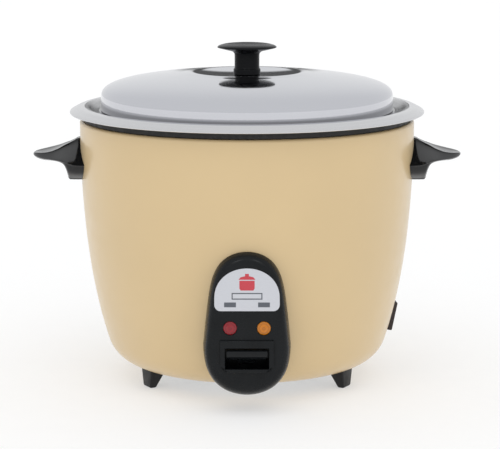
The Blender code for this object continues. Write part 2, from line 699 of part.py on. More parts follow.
def make_bracket():
    """The bracket that carries the pin and the small switch above the lever."""
    low = SHELL_BASE_Z + 2 * SHEET + 2 * GAP
    inner, outer = CHEEK_X
    outline = [(-outer, low), (outer, low), (outer, 68), (inner, 68), (inner, low + 1.5), (-inner, low + 1.5)]
    outline += [(-inner, 68), (-outer, 68)]
    bracket = front_plate("lever_bracket", outline, -76, -18, "zinc_steel")
    x, y, z = PIVOT
    combine(bracket, rod("pin_bore_tool", (-20, y, z), (20, y, z), 2.85, None, 16))
    combine(bracket, block("bracket_window_tool", (-20, -54, 18), (20, -24, 42), None))
    rod("lever_pivot_pin", (-14, y, z), (14, y, z), 2.5, "screw_steel", 16)
    switch = block("microswitch", (-10.2, SWITCH_Y[0], 54), (10.2, SWITCH_Y[1], 70), "black_phenolic", 0.8)
    combine(switch, rod("plunger_bore_tool", (0, -31, 50), (0, -31, 62), 2.4, None, 12))
    pin = [(0, 58), (2.0, 58), (2.0, 48.6), (1.4, 48.0), (0, 48.0)]
    plunger = turned("switch_plunger", pin, "wire_cover", 12)
    plunger.location = Vector((0, -31, 0)) * MM


# ---- control panel -----------------------------------------------------------------------


def make_panel():
    front = PANEL_FRONT_Y
    outer = [panel_ring(-112, 6.0, 0.0), panel_ring(-150, 0.0), panel_ring(-167, 1.4)]
    outer += [panel_ring(-172.5, 3.6), panel_ring(-175.0, 6.2)]
    outer += [panel_ring(front, inset) for inset in (9.0, 20.0, 33.0)]
    panel = loft("control_panel", outer, "panel_plastic")
    w = PANEL_WALL
    inner = [panel_ring(-108, w + 6.0, 0.0), panel_ring(-150, w), panel_ring(-167, w + 1.4)]
    inner += [panel_ring(front + w, w + 5.0), panel_ring(front + w, 20.0), panel_ring(front + w, 33.0)]
    combine(panel, loft("panel_hollow_tool", inner, None))
    guard = [(-25.7, 66), (25.7, 66), (25.7, 41), (18.5, 34.5), (-18.5, 34.5), (-25.7, 41)]
    combine(panel, front_plate("guard_tool", guard, front - 2.6, front + 1.0, None), "UNION")
    for side in (-1, 1):
        x, z = side * PANEL_SCREW_X, PANEL_SCREW_Z
        combine(panel, bore(f"boss_tool{side}", (x, front + 1.5, z), (x, -150, z), 4.2), "UNION")
    combine(panel, shell_cutter("panel_trim_tool"))
    slot = (-SLOT_HALF_WIDTH, front - 6, SLOT_Z[0]), (SLOT_HALF_WIDTH, front + 6, SLOT_Z[1])
    combine(panel, block("slot_tool", *slot, None))
    for side, name, slot_name in ((-1, "cook", "lamp_red"), (1, "hold", "lamp_amber")):
        x = side * LAMP_X
        lamp_hole = (x, front - 5, LAMP_Z), (x, front + 5, LAMP_Z)
        combine(panel, rod(f"lamp_tool{side}", *lamp_hole, LAMP_R + GAP, None, 24))
        make_lamp(x, name, slot_name)
        x, z = side * PANEL_SCREW_X, PANEL_SCREW_Z
        combine(panel, bore(f"boss_bore_tool{side}", (x, front + 3.5, z), (x, -150, z), 1.9))
        screw(f"panel_screw_{'left' if side < 0 else 'right'}", (x, -157.4, z), (0, -1, 0), 11)
    make_label()


def make_lamp(x, name, slot):
    """A lens clipped into the panel from behind, and the neon bulb in it."""
    r = LAMP_R
    profile = [(0, 1.8), (3.4, 1.5), (r - 0.8, 0.5), (r, -0.6), (r, -3.3), (r + 1.8, -3.3), (r + 1.8, -4.8)]
    profile += [(r - 1.4, -4.8), (r - 1.4, -2.0), (0, -1.2)]
    lens = turned(f"{name}_lamp_lens", profile, slot, SMALL)
    point_along(lens, (x, PANEL_FRONT_Y, LAMP_Z), (0, -1, 0))
    bulb = [(0, 0), (2.2, -0.8), (2.9, -3), (2.9, -10), (3.3, -10.5), (3.3, -14), (0, -14)]
    glass = turned(f"{name}_lamp_bulb", bulb, "neon_glass", 12)
    point_along(glass, (x, PANEL_FRONT_Y + 2.6, LAMP_Z), (0, -1, 0))


def make_label():
    """The blank D-shaped plate on the panel: an arch over a straight lower edge with round corners."""
    half, low, high, corner, shoulder = 31.0, 94.7, 136.0, 6.0, 106.5
    outline = []
    for i in range(17):
        angle = math.pi * i / 16
        height = shoulder + (high - shoulder) * math.sin(angle) ** 0.9
        outline.append((half * math.cos(angle), height))
    for centre_x, start in ((-half + corner, 180), (half - corner, 270)):
        outline += arc((centre_x, low + corner), corner, start, start + 90, 4)
    label = front_plate("face_label", outline, PANEL_FRONT_Y - GAP - 0.8, PANEL_FRONT_Y - GAP, "label_plate")
    return label


# ---- handles and inlet -------------------------------------------------------------------


def handle_section(row, side):
    """One upright section of a handle, from its row of HANDLE_SECTIONS.

    From the top middle it runs over the ridge, down the side to the widest line, and in under the
    grip, or further down to the leg's underside near the shell.
    """
    x, ridge_z, ridge_y, dish, widest_y, widest_z, under_z, under_y = row
    drop = widest_z - under_z
    half = [(0.0, ridge_z - dish), (0.6 * ridge_y, ridge_z - 0.6 * dish), (ridge_y, ridge_z)]
    half += [(0.86 * ridge_y + 0.14 * widest_y, ridge_z - 0.2 * (ridge_z - widest_z))]
    half += [(widest_y - 0.9, widest_z + 0.12 * (ridge_z - widest_z)), (widest_y, widest_z)]
    half += [(0.3 * under_y + 0.7 * widest_y, widest_z - 0.5 * drop), (under_y, widest_z - 0.93 * drop)]
    half += [(0.88 * under_y, under_z), (0.0, under_z)]
    ring = [(side * x, y, z) for y, z in half]
    return ring + [(side * x, -y, z) for y, z in reversed(half[1:-1])]


def make_handles():
    """Moulded side handles: a leg against the shell and a grip that stands out from it."""
    for name, side in (("right", 1), ("left", -1)):
        sections = [handle_section(row, side) for row in HANDLE_SECTIONS]
        handle = loft(f"handle_{name}", sections, "black_phenolic")
        combine(handle, shell_cutter(f"handle_trim_tool_{name}"))
        for y, end in ((-HANDLE_SCREW_Y, "front"), (HANDLE_SCREW_Y, "rear")):
            hole = (side * 160, y, HANDLE_SCREW_Z), (side * 177, y, HANDLE_SCREW_Z)
            combine(handle, bore(f"handle_bore_tool_{name}_{end}", *hole, 1.9))
            screw(f"handle_screw_{name}_{end}", (side * 163.6, y, HANDLE_SCREW_Z), (side, 0, 0), 12.5)


def place_at_inlet(obj):
    """Moves a piece made about the origin, facing +X, to the inlet's place on the shell."""
    place = Matrix.Rotation(INLET_ANGLE, 4, "Z")
    place @= Matrix.Translation(Vector((wall_radius(INLET_Z), 0, INLET_Z)) * MM)
    place @= Matrix.Rotation(INLET_TILT, 4, "Y")
    obj.matrix_basis = place @ obj.matrix_basis
    return obj


def make_inlet():
    """The power inlet: a flange on the shell, a socket body through it and two contact pins."""
    inlet = block("power_inlet", (-6, -19.0, -15), (3.6, 19.0, 15), "inlet_plastic", 1.2)
    place_at_inlet(inlet)
    combine(inlet, shell_cutter("inlet_trim_tool"))
    body = place_at_inlet(block("inlet_body_tool", (-18, -13, -11), (2.9, 13, 11), None))
    combine(inlet, body, "UNION")
    combine(inlet, place_at_inlet(block("inlet_cavity_tool", (-14, -11, -8.5), (8, 11, 8.5), None)))
    for side, name in ((-1, "left"), (1, "right")):
        hole = bore(f"inlet_bore_tool{side}", (-20, side * 5.5, 0), (8, side * 5.5, 0), 2.2)
        combine(inlet, place_at_inlet(hole))
        pin = [(0, 0), (1.2, -0.4), (1.9, -1.6), (1.9, -22.0), (0, -22.0)]
        contact = turned(f"inlet_pin_{name}", pin, "pin_brass", 12)
        place_at_inlet(point_along(contact, (0.5, side * 5.5, 0), (1, 0, 0)))


# ---- wiring ------------------------------------------------------------------------------


def make_fuse():
    ends = Vector((76, 70, 52)), Vector((54, 84, 52))
    length = (ends[1] - ends[0]).length
    profile = [(0, length), (2, length), (4, length - 2), (4, 2), (2, 0), (0, 0)]
    point_along(turned("thermal_fuse", profile, "fuse_ceramic", 12), ends[0], ends[1] - ends[0])


def make_wires():
    """Short internal wires, each from one terminal to the next."""
    routes = {
        "wire_inlet_to_fuse": [(122.5, 16, 44), (112, 26, 42), (98, 46, 46), (86, 62, 51), (76.8, 69.5, 52)],
        "wire_fuse_to_element": [(53.2, 84.5, 52), (42, 88, 52), (27, 84, 55), (20.2, 77, 58)]
        + [(19.5, 72.5, 64.6)],
        "wire_inlet_to_switch": [(123.5, 5, 44), (108, -4, 36), (80, -16, 30), (48, -28, 36), (30, -34, 56)]
        + [(18, -33, 72), (7, -31, 75), (5, -31, 71.1)],
        "wire_switch_to_element": [(-5, -31, 71.1), (-7, -31.5, 75), (-24, -30, 74), (-36, -8, 72)]
        + [(-38, 30, 68), (-28, 60, 60), (-20.5, 70, 58), (-19.5, 72.5, 64.6)],
        "wire_cook_lamp": [(-16.1, -159, LAMP_Z), (-16.1, -146, LAMP_Z), (-16, -110, 72), (-15, -70, 72)]
        + [(-10, -48, 75), (-3.5, -37.5, 75), (-2.5, -37, 71.1)],
        "wire_hold_lamp": [(16.1, -159, LAMP_Z), (16.1, -146, LAMP_Z), (16, -110, 72), (15, -70, 72), (10, -48, 75)]
        + [(3.5, -37.5, 75), (2.5, -37, 71.1)],
    }
    for name, points in routes.items():
        tube(name, smooth_route(points, 8.0), 1.3, "wire_cover")


def raise_onto_feet():
    """Moves the whole model up from its datum, so that the feet stand on z = 0."""
    for obj in [*parts.objects, *cutters.objects]:
        if not obj.parent:
            obj.matrix_basis = Matrix.Translation((0, 0, FOOT_REACH * MM)) @ obj.matrix_basis


clear_scene()
parts = collection("rice_cooker")
cutters = collection("cutters")
cutters.hide_render = True

make_outer_shell()
make_liner()
make_rim_seat()
make_bottom_plate()
make_feet()
make_pan()
make_lid()
make_knob()
make_hot_plate()
make_element()
make_plate_supports()
make_keep_warm_band()
make_thermostat()
make_lever()
make_bracket()
make_panel()
make_handles()
make_inlet()
make_fuse()
make_wires()
raise_onto_feet()
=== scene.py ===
"""Finished surfaces for a large rice cooker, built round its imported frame.

Every turned, moulded and pressed piece is made again at full smoothness from the same driving sizes
as the frame, in millimetres, and given its own procedural finish. Heights are measured from a datum
FOOT_REACH above the floor, and each piece is raised by FOOT_REACH when it is settled in its place.
"""

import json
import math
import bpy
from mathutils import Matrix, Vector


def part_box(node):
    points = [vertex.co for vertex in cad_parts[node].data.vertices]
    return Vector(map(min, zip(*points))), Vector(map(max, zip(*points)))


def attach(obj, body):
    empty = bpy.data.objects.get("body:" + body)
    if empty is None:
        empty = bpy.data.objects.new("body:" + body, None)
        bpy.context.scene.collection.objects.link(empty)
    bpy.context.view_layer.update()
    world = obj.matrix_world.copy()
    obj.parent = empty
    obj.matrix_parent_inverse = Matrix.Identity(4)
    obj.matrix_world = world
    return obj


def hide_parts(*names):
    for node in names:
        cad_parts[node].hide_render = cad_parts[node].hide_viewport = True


bl_info = {
    "name": "Rice Cooker",
    "version": (1, 0, 0),
    "blender": (4, 5, 0),
    "location": "3D View > Sidebar > Rice Cooker",
    "description": "Builds a drop-in-pan rice cooker with its finishes, floor, light and camera",
    "category": "Object",
}

import bmesh
import bpy
from bpy.props import FloatProperty, FloatVectorProperty, PointerProperty
from mathutils import Matrix, Vector

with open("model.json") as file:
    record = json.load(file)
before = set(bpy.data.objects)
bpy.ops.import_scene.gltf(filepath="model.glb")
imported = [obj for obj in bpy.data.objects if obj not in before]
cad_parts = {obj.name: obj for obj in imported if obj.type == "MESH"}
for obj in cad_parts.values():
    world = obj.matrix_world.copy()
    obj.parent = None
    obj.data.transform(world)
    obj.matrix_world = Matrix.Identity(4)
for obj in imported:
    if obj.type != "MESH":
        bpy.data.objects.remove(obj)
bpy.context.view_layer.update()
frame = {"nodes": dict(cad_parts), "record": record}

MM = 0.001
GAP = 0.3
SHEET = 1.2
FOOT_REACH = 10.0
HOLE_R = 2.0  # clearance holes for the small screws
PILOT_R = 1.9  # the screws' holes in moulded resin
ROUND = 144  # steps round a large turned piece
SMOOTH = math.radians(32.0)  # edges sharper than this stay crisp


# ---- sizes and colours that a user would change ------------------------------------------


def length(name, value, about):
    """A length setting, in metres."""
    return FloatProperty(name=name, default=value, min=0.0, unit="LENGTH", description=about)


def colour(name, value, about):
    """A colour setting, in linear red, green and blue."""
    return FloatVectorProperty(
        name=name, default=value, size=3, subtype="COLOR", min=0.0, max=1.0, description=about
    )


class CookerSizes(bpy.types.PropertyGroup):
    """The turned pieces' main sizes. The frame's sizes are the defaults."""

    shell_top: length("Shell top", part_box("outer_shell")[1].z, "Height of the shell's upper edge")
    rim_radius: length("Rim radius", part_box("inner_pan")[1].x, "Outer radius of the pan's flange")
    lid_radius: length("Lid radius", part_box("lid")[1].x, "Outer radius of the lid")
    knob_top: length("Knob top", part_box("lid_knob")[1].z, "Height of the knob's crown")
    handle_reach: length("Handle reach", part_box("handle_right")[1].x, "From the axis to a handle's tip")


class CookerColours(bpy.types.PropertyGroup):
    """Base colours of the finishes."""

    enamel: colour("Enamel", (0.67, 0.50, 0.27), "Baked enamel of the shell")
    lid: colour("Lid", (0.60, 0.605, 0.64), "Polished lid")
    pan: colour("Pan", (0.66, 0.66, 0.67), "Spun pan")
    black: colour("Black resin", (0.016, 0.017, 0.019), "Knob, handles and feet")
    panel: colour("Panel", (0.007, 0.008, 0.009), "Control panel and lever")
    plate: colour("Plate", (0.60, 0.61, 0.65), "Blank plate on the panel")
    red: colour("Red lens", (0.30, 0.012, 0.02), "Cook lamp")
    amber: colour("Amber lens", (0.62, 0.20, 0.008), "Hold lamp")


def sizes():
    """The scene's own sizes, as the user has set them."""
    return bpy.context.scene.rice_cooker_sizes


def colours():
    """The scene's own colours, as the user has set them."""
    return bpy.context.scene.rice_cooker_colours


# ---- finishes ----------------------------------------------------------------------------


def new_finish(name, base, roughness, metallic=0.0, **sockets):
    """A Principled material. Further sockets are given by name with _ for each space."""
    made = bpy.data.materials.new(name)
    made.use_nodes = True
    shader = made.node_tree.nodes["Principled BSDF"]
    shader.inputs["Base Color"].default_value = (*base, 1.0)
    shader.inputs["Roughness"].default_value = roughness
    shader.inputs["Metallic"].default_value = metallic
    for socket, value in sockets.items():
        shader.inputs[socket.replace("_", " ")].default_value = value
    return made


def add_node(finish, kind, inputs=(), **settings):
    """A node whose inputs are given by socket, each either a number or another node's output."""
    made = finish.node_tree.nodes.new(kind)
    for key, value in settings.items():
        setattr(made, key, value)
    for socket, value in dict(inputs).items():
        if isinstance(value, bpy.types.NodeSocket):
            finish.node_tree.links.new(value, made.inputs[socket])
        else:
            made.inputs[socket].default_value = value
    return made


def into_shader(finish, socket, value):
    """Links a node's output to one of the shader's sockets."""
    shader = finish.node_tree.nodes["Principled BSDF"]
    finish.node_tree.links.new(value, shader.inputs[socket])


def object_place(finish):
    """The surface point in the piece's own space, in metres."""
    return add_node(finish, "ShaderNodeTexCoord").outputs["Object"]


def from_axis(finish, place):
    """How far a surface point lies from the piece's upright axis, in metres."""
    inputs = {0: place, 1: (1.0, 1.0, 0.0)}
    flat = add_node(finish, "ShaderNodeVectorMath", inputs, operation="MULTIPLY").outputs[0]
    return add_node(finish, "ShaderNodeVectorMath", {0: flat}, operation="LENGTH").outputs["Value"]


def noise(finish, scale, detail=3.0, stretch=(1.0, 1.0, 1.0)):
    """Soft clouds of this scale, drawn out along the axes that stretch names."""
    inputs = {"Vector": object_place(finish), "Scale": stretch}
    place = add_node(finish, "ShaderNodeMapping", inputs).outputs[0]
    inputs = {"Vector": place, "Scale": scale, "Detail": detail}
    return add_node(finish, "ShaderNodeTexNoise", inputs).outputs["Fac"]


def turning_lines(finish, scale, detail=4.0):
    """Fine rings round Z, as a lathe or a spinning tool leaves them."""
    place = object_place(finish)
    height = add_node(finish, "ShaderNodeSeparateXYZ", {0: place}).outputs["Z"]
    inputs = {0: from_axis(finish, place), 1: height}
    along = add_node(finish, "ShaderNodeMath", inputs, operation="SUBTRACT")
    inputs = {"W": along.outputs[0], "Scale": scale, "Detail": detail}
    return add_node(finish, "ShaderNodeTexNoise", inputs, noise_dimensions="1D").outputs["Fac"]


def spread(finish, value, low, high):
    """Stretches a noise's middle range to run from low to high."""
    inputs = {"Value": value, "From Min": 0.3, "From Max": 0.7, "To Min": low, "To Max": high}
    return add_node(finish, "ShaderNodeMapRange", inputs).outputs[0]


def tint(finish, value, first, second):
    """A colour between two, mixed by a value from 0 to 1."""
    ramp = add_node(finish, "ShaderNodeMix", {0: value}, data_type="RGBA")
    ramp.inputs[6].default_value = (*first, 1.0)
    ramp.inputs[7].default_value = (*second, 1.0)
    return ramp.outputs[2]


def relief(finish, height, strength, depth=0.0002):
    """Bumps the surface by a height pattern."""
    inputs = {"Height": height, "Strength": strength, "Distance": depth}
    into_shader(finish, "Normal", add_node(finish, "ShaderNodeBump", inputs).outputs[0])


def shade(base, factor):
    """The same colour, darker or lighter by a factor."""
    return tuple(min(1.0, channel * factor) for channel in base)


def vary_colour(finish, pattern, base, darker, lighter):
    """Drifts the colour between two factors of its base along a pattern."""
    share = spread(finish, pattern, 0.0, 1.0)
    into_shader(finish, "Base Color", tint(finish, share, shade(base, darker), shade(base, lighter)))


def vary_gloss(finish, pattern, low, high):
    """Drifts the roughness between two values along a pattern."""
    into_shader(finish, "Roughness", spread(finish, pattern, low, high))


def enamel_finish():
    """Baked enamel: soft clouds of colour and a fine orange peel under a clear gloss."""
    base = tuple(colours().enamel)
    made = new_finish("baked_enamel", base, 0.34, Coat_Weight=0.35, Coat_Roughness=0.12)
    vary_colour(made, noise(made, 9.0), base, 0.975, 1.02)
    vary_gloss(made, noise(made, 60.0), 0.30, 0.40)
    relief(made, noise(made, 420.0, 2.0), 0.10, 0.00006)
    return made


def polished_finish():
    """Polished aluminium with the buffing wheel's hairlines."""
    base = tuple(colours().lid)
    made = new_finish("polished_aluminium", base, 0.08, 1.0)
    rings = turning_lines(made, 1500.0)
    vary_colour(made, rings, base, 0.97, 1.03)
    vary_gloss(made, turning_lines(made, 800.0), 0.06, 0.10)
    relief(made, rings, 0.04, 0.00002)
    return made


def spun_finish(name, base, low, high, strength=0.12):
    """Spun or machined aluminium with plain tool rings."""
    made = new_finish(name, base, (low + high) / 2, 1.0)
    rings = turning_lines(made, 1100.0)
    vary_colour(made, rings, base, 0.93, 1.04)
    vary_gloss(made, rings, low, high)
    relief(made, rings, strength, 0.00004)
    return made


def paint_shade_on_ledge(made, factor):
    """Paints shade into the base colour of the pan's ledge, from its wall out to the flange's rise, where
    the lid's side shades it.
    """
    radius = from_axis(made, object_place(made))
    inputs = {"Value": radius, "From Min": 0.1432, "From Max": 0.1440}
    start = add_node(made, "ShaderNodeMapRange", inputs)
    inputs = {"Value": radius, "From Min": 0.1580, "From Max": 0.1635}
    end = add_node(made, "ShaderNodeMapRange", inputs)
    inputs = {0: start.outputs[0], 1: end.outputs[0]}
    share = add_node(made, "ShaderNodeMath", inputs, operation="SUBTRACT")
    shader = made.node_tree.nodes["Principled BSDF"]
    plain = shader.inputs["Base Color"].links[0].from_socket
    mixed = add_node(made, "ShaderNodeMix", {0: share.outputs[0], 6: plain}, data_type="RGBA")
    mixed.inputs[7].default_value = (*shade(tuple(colours().pan), factor), 1.0)
    into_shader(made, "Base Color", mixed.outputs[2])


def resin_finish(name, base, low, high, specular=0.5):
    """Moulded black resin: a faint grain and a slightly uneven gloss."""
    made = new_finish(name, base, (low + high) / 2, Specular_IOR_Level=specular)
    vary_colour(made, noise(made, 45.0), base, 0.85, 1.2)
    vary_gloss(made, noise(made, 140.0), low, high)
    relief(made, noise(made, 900.0, 2.0), 0.08, 0.00003)
    return made


def steel_finish(name, base, low, high):
    """Plated or drawn sheet with soft cloudy patches."""
    made = new_finish(name, base, (low + high) / 2, 1.0)
    vary_colour(made, noise(made, 70.0, 5.0), base, 0.88, 1.06)
    vary_gloss(made, noise(made, 160.0), low, high)
    relief(made, noise(made, 600.0), 0.08, 0.00004)
    return made


def matt_finish(name, base, roughness, grain=500.0):
    """Rubber, ceramic, mica and wire covers."""
    made = new_finish(name, base, roughness)
    specks = noise(made, grain / 4)
    vary_colour(made, specks, base, 0.86, 1.1)
    vary_gloss(made, spread(made, specks, 0.0, 1.0), roughness - 0.06, roughness + 0.06)
    relief(made, noise(made, grain, 3.0), 0.2, 0.0001)
    return made


def lens_finish(name, base):
    """Moulded lens with concentric ridges on its inner side, seen through the colour."""
    made = new_finish(name, base, 0.16, IOR=1.49, Transmission_Weight=0.25)
    vary_colour(made, turning_lines(made, 900.0, 0.0), base, 0.8, 1.25)
    vary_gloss(made, noise(made, 300.0), 0.10, 0.22)
    return made


def plate_finish():
    """Silvered foil, brushed from side to side."""
    base = tuple(colours().plate)
    made = new_finish("silvered_plate", base, 0.4, 0.35)
    brushing = noise(made, 260.0, 3.0, (1.0, 1.0, 14.0))
    vary_colour(made, brushing, base, 0.96, 1.04)
    vary_gloss(made, brushing, 0.34, 0.46)
    return made


def print_finish(name, base):
    """Screen-printed ink with a fine dot."""
    made = new_finish(name, base, 0.5)
    dots = noise(made, 1500.0)
    vary_colour(made, dots, base, 0.9, 1.1)
    vary_gloss(made, spread(made, dots, 0.0, 1.0), 0.45, 0.55)
    return made


def glass_finish():
    """The clear glass of the neon bulbs."""
    made = new_finish("neon_glass", (0.85, 0.83, 0.78), 0.05, IOR=1.47, Transmission_Weight=0.9)
    vary_gloss(made, noise(made, 400.0), 0.03, 0.08)
    return made


# ---- mesh tools --------------------------------------------------------------------------


def to_object(name, shape, smooth=SMOOTH):
    """Turns a bmesh in metres into an object, shaded smooth up to an angle."""
    mesh = bpy.data.meshes.new(name)
    bmesh.ops.recalc_face_normals(shape, faces=shape.faces)
    shape.to_mesh(mesh)
    shape.free()
    mesh.shade_smooth()
    mesh.set_sharp_from_angle(angle=smooth)
    obj = bpy.data.objects.new(name, mesh)
    bpy.context.scene.collection.objects.link(obj)
    return obj


def turned(name, profile, steps=ROUND):
    """A solid of revolution about Z from an outline of (radius, height) points in millimetres."""
    shape = bmesh.new()
    verts = [shape.verts.new((max(r, 0.0) * MM, 0.0, z * MM)) for r, z in profile]
    edges = [shape.edges.new(pair) for pair in zip(verts, verts[1:])]
    if profile[0][0] > 0 or profile[-1][0] > 0:
        edges.append(shape.edges.new((verts[-1], verts[0])))
    bmesh.ops.spin(
        shape, geom=verts + edges, cent=(0, 0, 0), axis=(0, 0, 1), angle=2 * math.pi, steps=steps
    )
    bmesh.ops.remove_doubles(shape, verts=shape.verts, dist=0.000001)
    return to_object(name, shape)


def round_edges(shape, rounding, segments):
    """Rounds every edge of a shape to a radius in millimetres."""
    bmesh.ops.bevel(
        shape, geom=shape.edges, offset=rounding * MM, segments=segments, profile=0.5, affect="EDGES"
    )


def block(name, low, high, rounding=0.0, segments=3):
    """A block between two corners in millimetres, with rounded edges."""
    shape = bmesh.new()
    bmesh.ops.create_cube(shape, size=1.0)
    size = Vector([b - a for a, b in zip(low, high)]) * MM
    middle = Vector([(a + b) / 2 for a, b in zip(low, high)]) * MM
    bmesh.ops.scale(shape, vec=size, verts=shape.verts)
    bmesh.ops.translate(shape, vec=middle, verts=shape.verts)
    if rounding:
        round_edges(shape, rounding, segments)
    return to_object(name, shape)


def rod(name, start, end, radius, steps=32):
    """A round rod between two points in millimetres."""
    direction = Vector(end) - Vector(start)
    high = direction.length
    made = turned(name, [(0, high), (radius, high), (radius, 0), (0, 0)], steps)
    made.data.transform(Matrix.Translation(Vector(start) * MM) @ turn_to(direction))
    return made


def turn_to(direction):
    """The turn that takes Z to a direction."""
    return Vector(direction).to_track_quat("Z", "Y").to_matrix().to_4x4()


def loft(name, rings, rounding=0.0):
    """A closed skin over rings of equally many points in millimetres, with flat ends."""
    shape = bmesh.new()
    rows = [[shape.verts.new(Vector(point) * MM) for point in ring] for ring in rings]
    count = len(rows[0])
    for row, following in zip(rows, rows[1:]):
        for i in range(count):
            j = (i + 1) % count
            shape.faces.new((row[i], row[j], following[j], following[i]))
    shape.faces.new(rows[0])
    shape.faces.new(rows[-1])
    if rounding:
        round_edges(shape, rounding, 4)
    return to_object(name, shape)


def outline_slab(name, outlines, thickness, rounding=0.0):
    """A flat shape in the XY plane from an outline and any inner ones, with rolled edges."""
    curve = bpy.data.curves.new(name, "CURVE")
    curve.dimensions = "2D"
    curve.fill_mode = "BOTH"
    curve.extrude = (thickness / 2 - rounding) * MM
    curve.bevel_depth = rounding * MM
    curve.offset = -rounding * MM
    curve.bevel_resolution = 3
    for outline in outlines:
        spline = curve.splines.new("POLY")
        spline.points.add(len(outline) - 1)
        for point, (x, y) in zip(spline.points, outline):
            point.co = (x * MM, y * MM, 0.0, 1.0)
        spline.use_cyclic_u = True
    guide = bpy.data.objects.new(name + "_guide", curve)
    bpy.context.scene.collection.objects.link(guide)
    graph = bpy.context.evaluated_depsgraph_get()
    mesh = bpy.data.meshes.new_from_object(guide.evaluated_get(graph))
    bpy.data.objects.remove(guide, do_unlink=True)
    shape = bmesh.new()
    shape.from_mesh(mesh)
    bmesh.ops.remove_doubles(shape, verts=shape.verts, dist=0.000002)
    return to_object(name, shape)


def front_slab(name, outlines, low_y, high_y, rounding=0.0):
    """A slab whose (x, z) outline faces -Y."""
    made = outline_slab(name, outlines, high_y - low_y, rounding)
    place = Matrix.Translation((0, (low_y + high_y) / 2 * MM, 0))
    made.data.transform(place @ Matrix.Rotation(math.pi / 2, 4, "X"))
    return made


def carve(obj, *tools, operation="DIFFERENCE", smooth=SMOOTH):
    """Cuts, joins or keeps what is shared with each tool, and removes the tools."""
    for tool in tools:
        step = obj.modifiers.new("carve", "BOOLEAN")
        step.operation = operation
        step.object = tool
        step.solver = "EXACT"
        graph = bpy.context.evaluated_depsgraph_get()
        mesh = bpy.data.meshes.new_from_object(obj.evaluated_get(graph))
        obj.modifiers.clear()
        obj.data = mesh
        bpy.data.objects.remove(tool, do_unlink=True)
    obj.data.shade_smooth()
    obj.data.set_sharp_from_angle(angle=smooth)
    return obj


def settle(obj, body, finish, slot, *nodes):
    """Raises a piece into place, gives it its finish and hides the frame's own nodes. The slot is not
    used.
    """
    obj.data.materials.clear()
    obj.data.materials.append(finish)
    obj.location.z += FOOT_REACH * MM
    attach(obj, body)
    if nodes:
        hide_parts(*nodes)
    return obj


def arc(centre, radius, start, end, steps):
    """Points on an arc between two angles in degrees."""
    points = []
    for i in range(steps + 1):
        angle = math.radians(start + (end - start) * i / steps)
        points.append((centre[0] + radius * math.cos(angle), centre[1] + radius * math.sin(angle)))
    return points


def smooth_line(points, per_span=6):
    """More points on a Catmull-Rom curve through the given ones."""
    knots = [Vector(point) for point in points]
    knots = [2 * knots[0] - knots[1], *knots, 2 * knots[-1] - knots[-2]]
    line = []
    for a, b, c, d in zip(knots, knots[1:], knots[2:], knots[3:]):
        for step in range(per_span):
            t = step / per_span
            swing = (c - a) * t + (2 * a - 5 * b + 4 * c - d) * t**2 + (3 * b - 3 * c + d - a) * t**3
            line.append(tuple(b + swing / 2))
    return line + [tuple(knots[-2])]


def ring_point(radius, degrees, height):
    """A point round Z, from its radius, its turn in degrees and its height."""
    angle = math.radians(degrees)
    return (radius * math.cos(angle), radius * math.sin(angle), height)


# ---- shell outlines ----------------------------------------------------------------------

SHELL_TOP_R = 170.0
WALL_DATUM_Z = 254.4  # the height at which the barrel curve of the wall is widest
SHELL_CORNER_R = 34.0
SHELL_CORNER_Z = 31.9
SHELL_LIP_R = 102.0
SHELL_MOUTH_R = 158.0
SHELL_EDGE_R = 3.0
LAMP_X = 16.1
LAMP_Z = 77.8
PANEL_FRONT_Y = -176.0
PANEL_SCREW_X = 20.0
PANEL_SCREW_Z = 118.0
HANDLE_SCREW_Y = 26.0
HANDLE_SCREW_Z = 212.0
FOOT_TURNS = {"front_left": 210.0, "front_right": 330.0, "rear": 90.0}
FOOT_SECTIONS = (
    # height, inner radius, outer radius, half-width
    (-FOOT_REACH, 110.5, 117.4, 8.0),
    (10.0, 99.4, 117.8, 11.7),
)
FOOT_SCREW_R = 114.0
FOOT_SCREW_Z = 10.7
BASE_SCREW_R = 106.0
BASE_SCREW_TURN = 5.6
INLET_ANGLE = math.radians(5.0)
INLET_TILT = math.radians(11.5)
INLET_Z = 51.7
LINER_R = 151.0
LINER_FLOOR_Z = 80.0
LINER_CORNER_R = 22.0
LINER_LIP_R = 164.4
BASE_R = 109.4
BASE_Z = 9.57
VENT_TURN = 35.6
RIB_RISE = 0.9


def shell_top():
    """The height of the shell's upper edge above the datum, in millimetres."""
    return sizes().shell_top / MM - FOOT_REACH


def wall_radius(z, grow=0.0):
    """The shell's outer radius at a height: a slow barrel curve that tightens lower down."""
    depth = (WALL_DATUM_Z - z) / 206.0
    return SHELL_TOP_R - 16.5 * depth**2 - 5.8 * depth**4 + grow


def shell_side(top_z, end_r, grow=0.0, wall_steps=40, corner_steps=16):
    """The shell's outside from top_z down to a flat base that ends at end_r."""
    side = []
    for i in range(wall_steps):
        z = top_z + (SHELL_CORNER_Z - top_z) * i / wall_steps
        side.append((wall_radius(z, grow), z))
    step = 0.5
    lean = math.atan2(wall_radius(SHELL_CORNER_Z + step) - wall_radius(SHELL_CORNER_Z - step), 2 * step)
    centre_r = wall_radius(SHELL_CORNER_Z) - SHELL_CORNER_R * math.cos(lean)
    centre_z = SHELL_CORNER_Z + SHELL_CORNER_R * math.sin(lean)
    for i in range(corner_steps + 1):
        angle = lean + (math.pi / 2 - lean) * i / corner_steps
        reach = SHELL_CORNER_R + grow
        side.append((centre_r + reach * math.cos(angle), centre_z - reach * math.sin(angle)))
    side.append((end_r, side[-1][1]))
    return side


def shell_volume(name, steps=ROUND):
    """The shell's whole volume with a hairline round it, for trimming what rests on it."""
    top = shell_top() + 4.0
    return turned(name, [(0.0, top)] + shell_side(top, 0.0, 0.15), steps)


